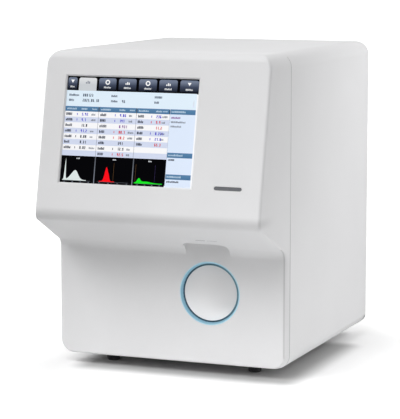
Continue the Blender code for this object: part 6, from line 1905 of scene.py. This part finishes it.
@dataclass
class Drives:
    """Motor caps, fasteners, belt teeth and connectors of the moving units."""

    cap: float = 0.0001
    corner: float = 0.004

    def build(self) -> None:
        """Builds the drives' small parts."""
        self._motor_caps()
        self._fasteners()
        self._belt_teeth()
        self._pigtail()

    def _octagon(self, half: float) -> list[Pair]:
        """Gives the outline of a square motor with cut corners, about its middle."""
        reach, cut = half + self.cap, half - self.corner
        return [(reach, -cut), (reach, cut), (cut, reach), (-cut, reach), (-reach, cut), (-reach, -cut),
                (-cut, -reach), (cut, -reach)]

    def _motor_caps(self) -> None:
        """Puts metal end caps on the three stepping motors."""
        lift, syringe = middle("lift_motor", "xy"), middle("syringe_motor", "xy")
        caps = (
            ("lift_motor_caps", "carriage", 0.0175, 0.0047, (0, 0, 1), [(*lift, z) for z in (0.3439, 0.3632)]),
            ("syringe_motor_caps", "case", 0.0175, 0.0058, (0, 0, 1), [(*syringe, z) for z in (0.0888, 0.1132)]),
            ("sampling_motor_caps", "case", 0.021, 0.0068, (1, 0, 0), [(x, 0.0748, 0.291) for x in (-0.0354, -0.0082)]),
        )
        for name, body, half, thick, way, points in caps:
            form = Form()
            for point in points:
                form.plate(self._octagon(half), facing(point, way), thick)
            form.piece(name, body, "aluminium", 0.4)

    def _fasteners(self) -> None:
        """Sets the screws of frames, carriage, motors, pump and rotor."""
        deep, up = PUMP_AXIS
        lift_x, lift_y = middle("lift_motor", "xy")
        rotor, rim = ([(x, deep + reach * math.cos(turn), up + reach * math.sin(turn))
                       for turn in (math.tau * (index + start) / count for index in range(count))]
                      for x, reach, count, start in ((0.1043, 0.017, 3, 0.0), (0.107, 0.0295, 4, 0.5)))
        groups = (
            ("carriage_screws", "carriage", [(0.033, y, z) for y in (-0.1325, -0.1045) for z in (0.26, 0.308)],
             (1, 0, 0), 0.0021),
            ("lift_motor_screws", "carriage", [(lift_x + i * 0.0128, lift_y + j * 0.0128, 0.3679)
                                               for i in (-1, 1) for j in (-1, 1)], (0, 0, 1), 0.0017),
            ("frame_screws", "case", [(0.0033, y, z) for y in (-0.13, -0.03, 0.076) for z in (0.2545, 0.3275)],
             (1, 0, 0), 0.0022),
            ("bracket_screws", "case", [(0.0033, y, z) for y in (0.1138, 0.1538) for z in (0.14, 0.177, 0.278)],
             (1, 0, 0), 0.0022),
            ("wall_screws", "case", [(0.001, y, z) for y in (-0.06, 0.03, 0.1, 0.175)
                                     for z in (0.026, 0.38)], (1, 0, 0), 0.0024),
            ("pump_foot_screws", "case", [(x, y, 0.0198) for x in (0.047, 0.0825) for y in (0.096, 0.1175)],
             (0, 0, 1), 0.0021),
            ("pump_rim_screws", "case", rim, (1, 0, 0), 0.0013),
            ("rotor_screws", "pump_rotor", [*rotor, (0.1043, deep, up)], (1, 0, 0), 0.0027),
            ("tray_screws", "case", [(x, y, 0.0135) for x in (-0.118, 0.0, 0.118) for y in (-0.1, 0.03, 0.172)],
             (0, 0, -1), 0.0026),
            ("board_screws", "case", [(-0.0236, y, z) for y in (-0.0502, 0.1098) for z in (0.1355, 0.2515)],
             (-1, 0, 0), 0.0026),
        )
        for name, body, places, way, size in groups:
            screws(name, body, places, way, size)
        nuts = Form()
        for z in (0.2635, 0.3185):
            for y in (-0.1441, 0.087):
                nuts.rod((0.022, y, z), (0, 1, 0), 0.0053, 0.0017, 6)
        nuts.piece("rail_nuts", "case", "steel", 0.4)

    def _belt_teeth(self) -> None:
        """Cuts the teeth of the belt's lower run."""
        tooth = block_seed((0.0067, -0.125, 0.2835), (0.0113, -0.124, 0.2842))
        grid("belt_teeth", "belt", tooth, (96, 0.00204))

    def _pigtail(self) -> None:
        """Adds the lift motor's plug and its short wires."""
        plugs = Form()
        plugs.block((0.0634, -0.124, 0.345), (0.0676, -0.1125, 0.3512))
        plugs.block((0.031, -0.0993, 0.327), (0.042, -0.095, 0.335))
        plugs.piece("lift_plugs", "carriage", "cream")
        for name, finish, shift in (("lift_wires_red", "red", -0.003), ("lift_wires_blue", "blue", -0.001),
                                    ("lift_wires_dark", "dark", 0.001), ("lift_wires_cream", "cream", 0.003)):
            run = [(0.067, -0.1182 + shift, 0.348), (0.0715, -0.1182 + shift, 0.348),
                   (0.0715, -0.093, 0.347 + shift / 4), (0.0365 + shift, -0.092, 0.343),
                   (0.0365 + shift, -0.092, 0.331), (0.0365 + shift, -0.0955, 0.331)]
            tubes(name, "carriage", [run], 0.0005, 0.004, finish)


@dataclass
class Electronics:
    """Parts and wires on the left of the wall."""

    outer: float = -0.0236
    chips_y: tuple[float, ...] = (-0.02624, 0.02176, 0.06976)
    chips_z: tuple[float, ...] = (0.1715, 0.2195)
    chip: float = 0.0121

    def build(self) -> None:
        """Builds the electronics' small parts."""
        self._chips()
        self._sockets()
        self._supply()
        self._wires()

    def _chips(self) -> None:
        """Puts dark bodies and bright legs on the chips, with fins on one of them."""
        first = (self.outer, self.chips_y[0], self.chips_z[0])
        bodies, legs = Form(), Form()
        bodies.block((-0.0032, -self.chip, -self.chip), (-0.0001, self.chip, self.chip))
        for index in range(14):
            shift = (index - 6.5) * 0.0016
            for side in (-1, 1):
                low, high = sorted((side * self.chip, side * (self.chip + 0.0014)))
                legs.block((-0.0012, shift - 0.0003, low), (0.0, shift + 0.0003, high))
                legs.block((-0.0012, low, shift - 0.0003), (0.0, high, shift + 0.0003))
        for name, finish, form in (("chip_bodies", "dark", bodies), ("chip_legs", "steel", legs)):
            grid(name, finish, form.data(), (3, 0.048), (2, 0.048), place=Matrix.Translation(first))
        fin = block_seed((-0.038, -0.0112, 0.2085), (-0.0267, -0.0102, 0.2305))
        grid("heat_fins", "aluminium", fin, (9, 0.0026), place=Matrix.Translation((0.0, self.chips_y[0], 0.0)))
        cans = Form()
        cans.rod((self.outer, 0.101, 0.15), (-1, 0, 0), 0.005, 0.011, 24)
        grid("capacitors", "blue", cans.data(), rows=(7, 0.0135))

    def _sockets(self) -> None:
        """Covers the board's two plug rows and gives them their pins."""
        rows = Form()
        for y in (-0.00224, 0.06376):
            rows.block((-0.0338, y - 0.0301, 0.1294), (self.outer - 0.0001, y + 0.0301, 0.1356))
        rows.piece("plug_rows", "case", "cream")
        pin = block_seed((-0.0344, -0.03, 0.1318), (-0.0337, -0.0292, 0.1326))
        grid("plug_pins", "steel", pin, (40, 0.0031))

    def _supply(self) -> None:
        """Adds the power supply's terminal strip."""
        strip = Form()
        strip.block((-0.115, 0.0565, 0.03), (-0.055, 0.064, 0.04))
        for index in range(7):
            x = -0.115 + index * 0.01
            strip.block((x - 0.0004, 0.0565, 0.0398), (x + 0.0004, 0.064, 0.043))
        strip.piece("terminal_strip", "case", "dark")
        screws("terminal_screws", "case", [(-0.11 + index * 0.01, 0.0602, 0.04) for index in range(6)],
               (0, 0, 1), 0.0028, "brass")

    def _wires(self) -> None:
        """Runs the wires of inlet, fan, supply and board."""
        groups = {
            "red": [[(-0.1, 0.1662, 0.12), (-0.1, 0.156, 0.12), (-0.12, 0.15, 0.085),
                     (-0.12, 0.062, 0.075), (-0.11, 0.06, 0.044)],
                    [(-0.056, 0.1655, 0.27), (-0.048, 0.156, 0.264), (-0.04, 0.09, 0.2),
                     (-0.038, 0.08, 0.1325), (-0.034, 0.08, 0.1325)]],
            "blue": [[(-0.09, 0.1662, 0.12), (-0.09, 0.154, 0.118), (-0.122, 0.148, 0.083),
                      (-0.122, 0.064, 0.073), (-0.1, 0.06, 0.044)]],
            "dark": [[(-0.058, 0.1655, 0.27), (-0.05, 0.156, 0.262), (-0.042, 0.09, 0.198),
                      (-0.039, 0.082, 0.1325), (-0.034, 0.082, 0.1325)],
                     [(-0.07, 0.06, 0.044), (-0.07, 0.06, 0.09), (-0.042, 0.04, 0.11),
                      (-0.04, 0.04, 0.1325), (-0.034, 0.04, 0.1325)]],
            "cream": [[(-0.06, 0.06, 0.044), (-0.06, 0.06, 0.088), (-0.04, 0.044, 0.108),
                       (-0.0385, 0.044, 0.1325), (-0.034, 0.044, 0.1325)]],
        }
        for finish, runs in groups.items():
            tubes("left_wires_" + finish, "case", runs, 0.0009, 0.008, finish)


@dataclass
class ServiceDoor:
    """Stiffening ribs and magnets on the door's inner face."""

    face: float = 0.1344

    def build(self) -> None:
        """Adds the door's ribs and magnets."""
        rib = block_seed((self.face - 0.0012, -0.096, 0.04), (self.face + 0.0002, -0.0946, 0.366))
        grid("door_ribs", "case", rib, (6, 0.05), body="door")
        bar = block_seed((self.face - 0.0012, -0.0953, 0.044), (self.face + 0.0002, 0.1547, 0.0454))
        grid("door_bars", "case", bar, rows=(5, 0.079), body="door")
        magnets = Form()
        for z in (0.09, 0.3):
            magnets.rod((self.face + 0.0003, -0.106, z), (-1, 0, 0), 0.0045, 0.0016, 24)
        magnets.piece("door_magnets", "door", "steel")


def main() -> None:
    """Builds the stage and every piece of the analyzer."""
    logging.basicConfig(level=logging.INFO, format="%(name)s: %(message)s")
    bpy.context.scene.view_settings.view_transform = "Standard"
    for part in (Studio(), Casing(), KeyUnit(), Screen(), InnerUnits(), KeySpring(), RearPanel(), FluidBay(), Drives(),
                 Electronics(), ServiceDoor()):
        part.build()


if __name__ == "__main__":
    main()
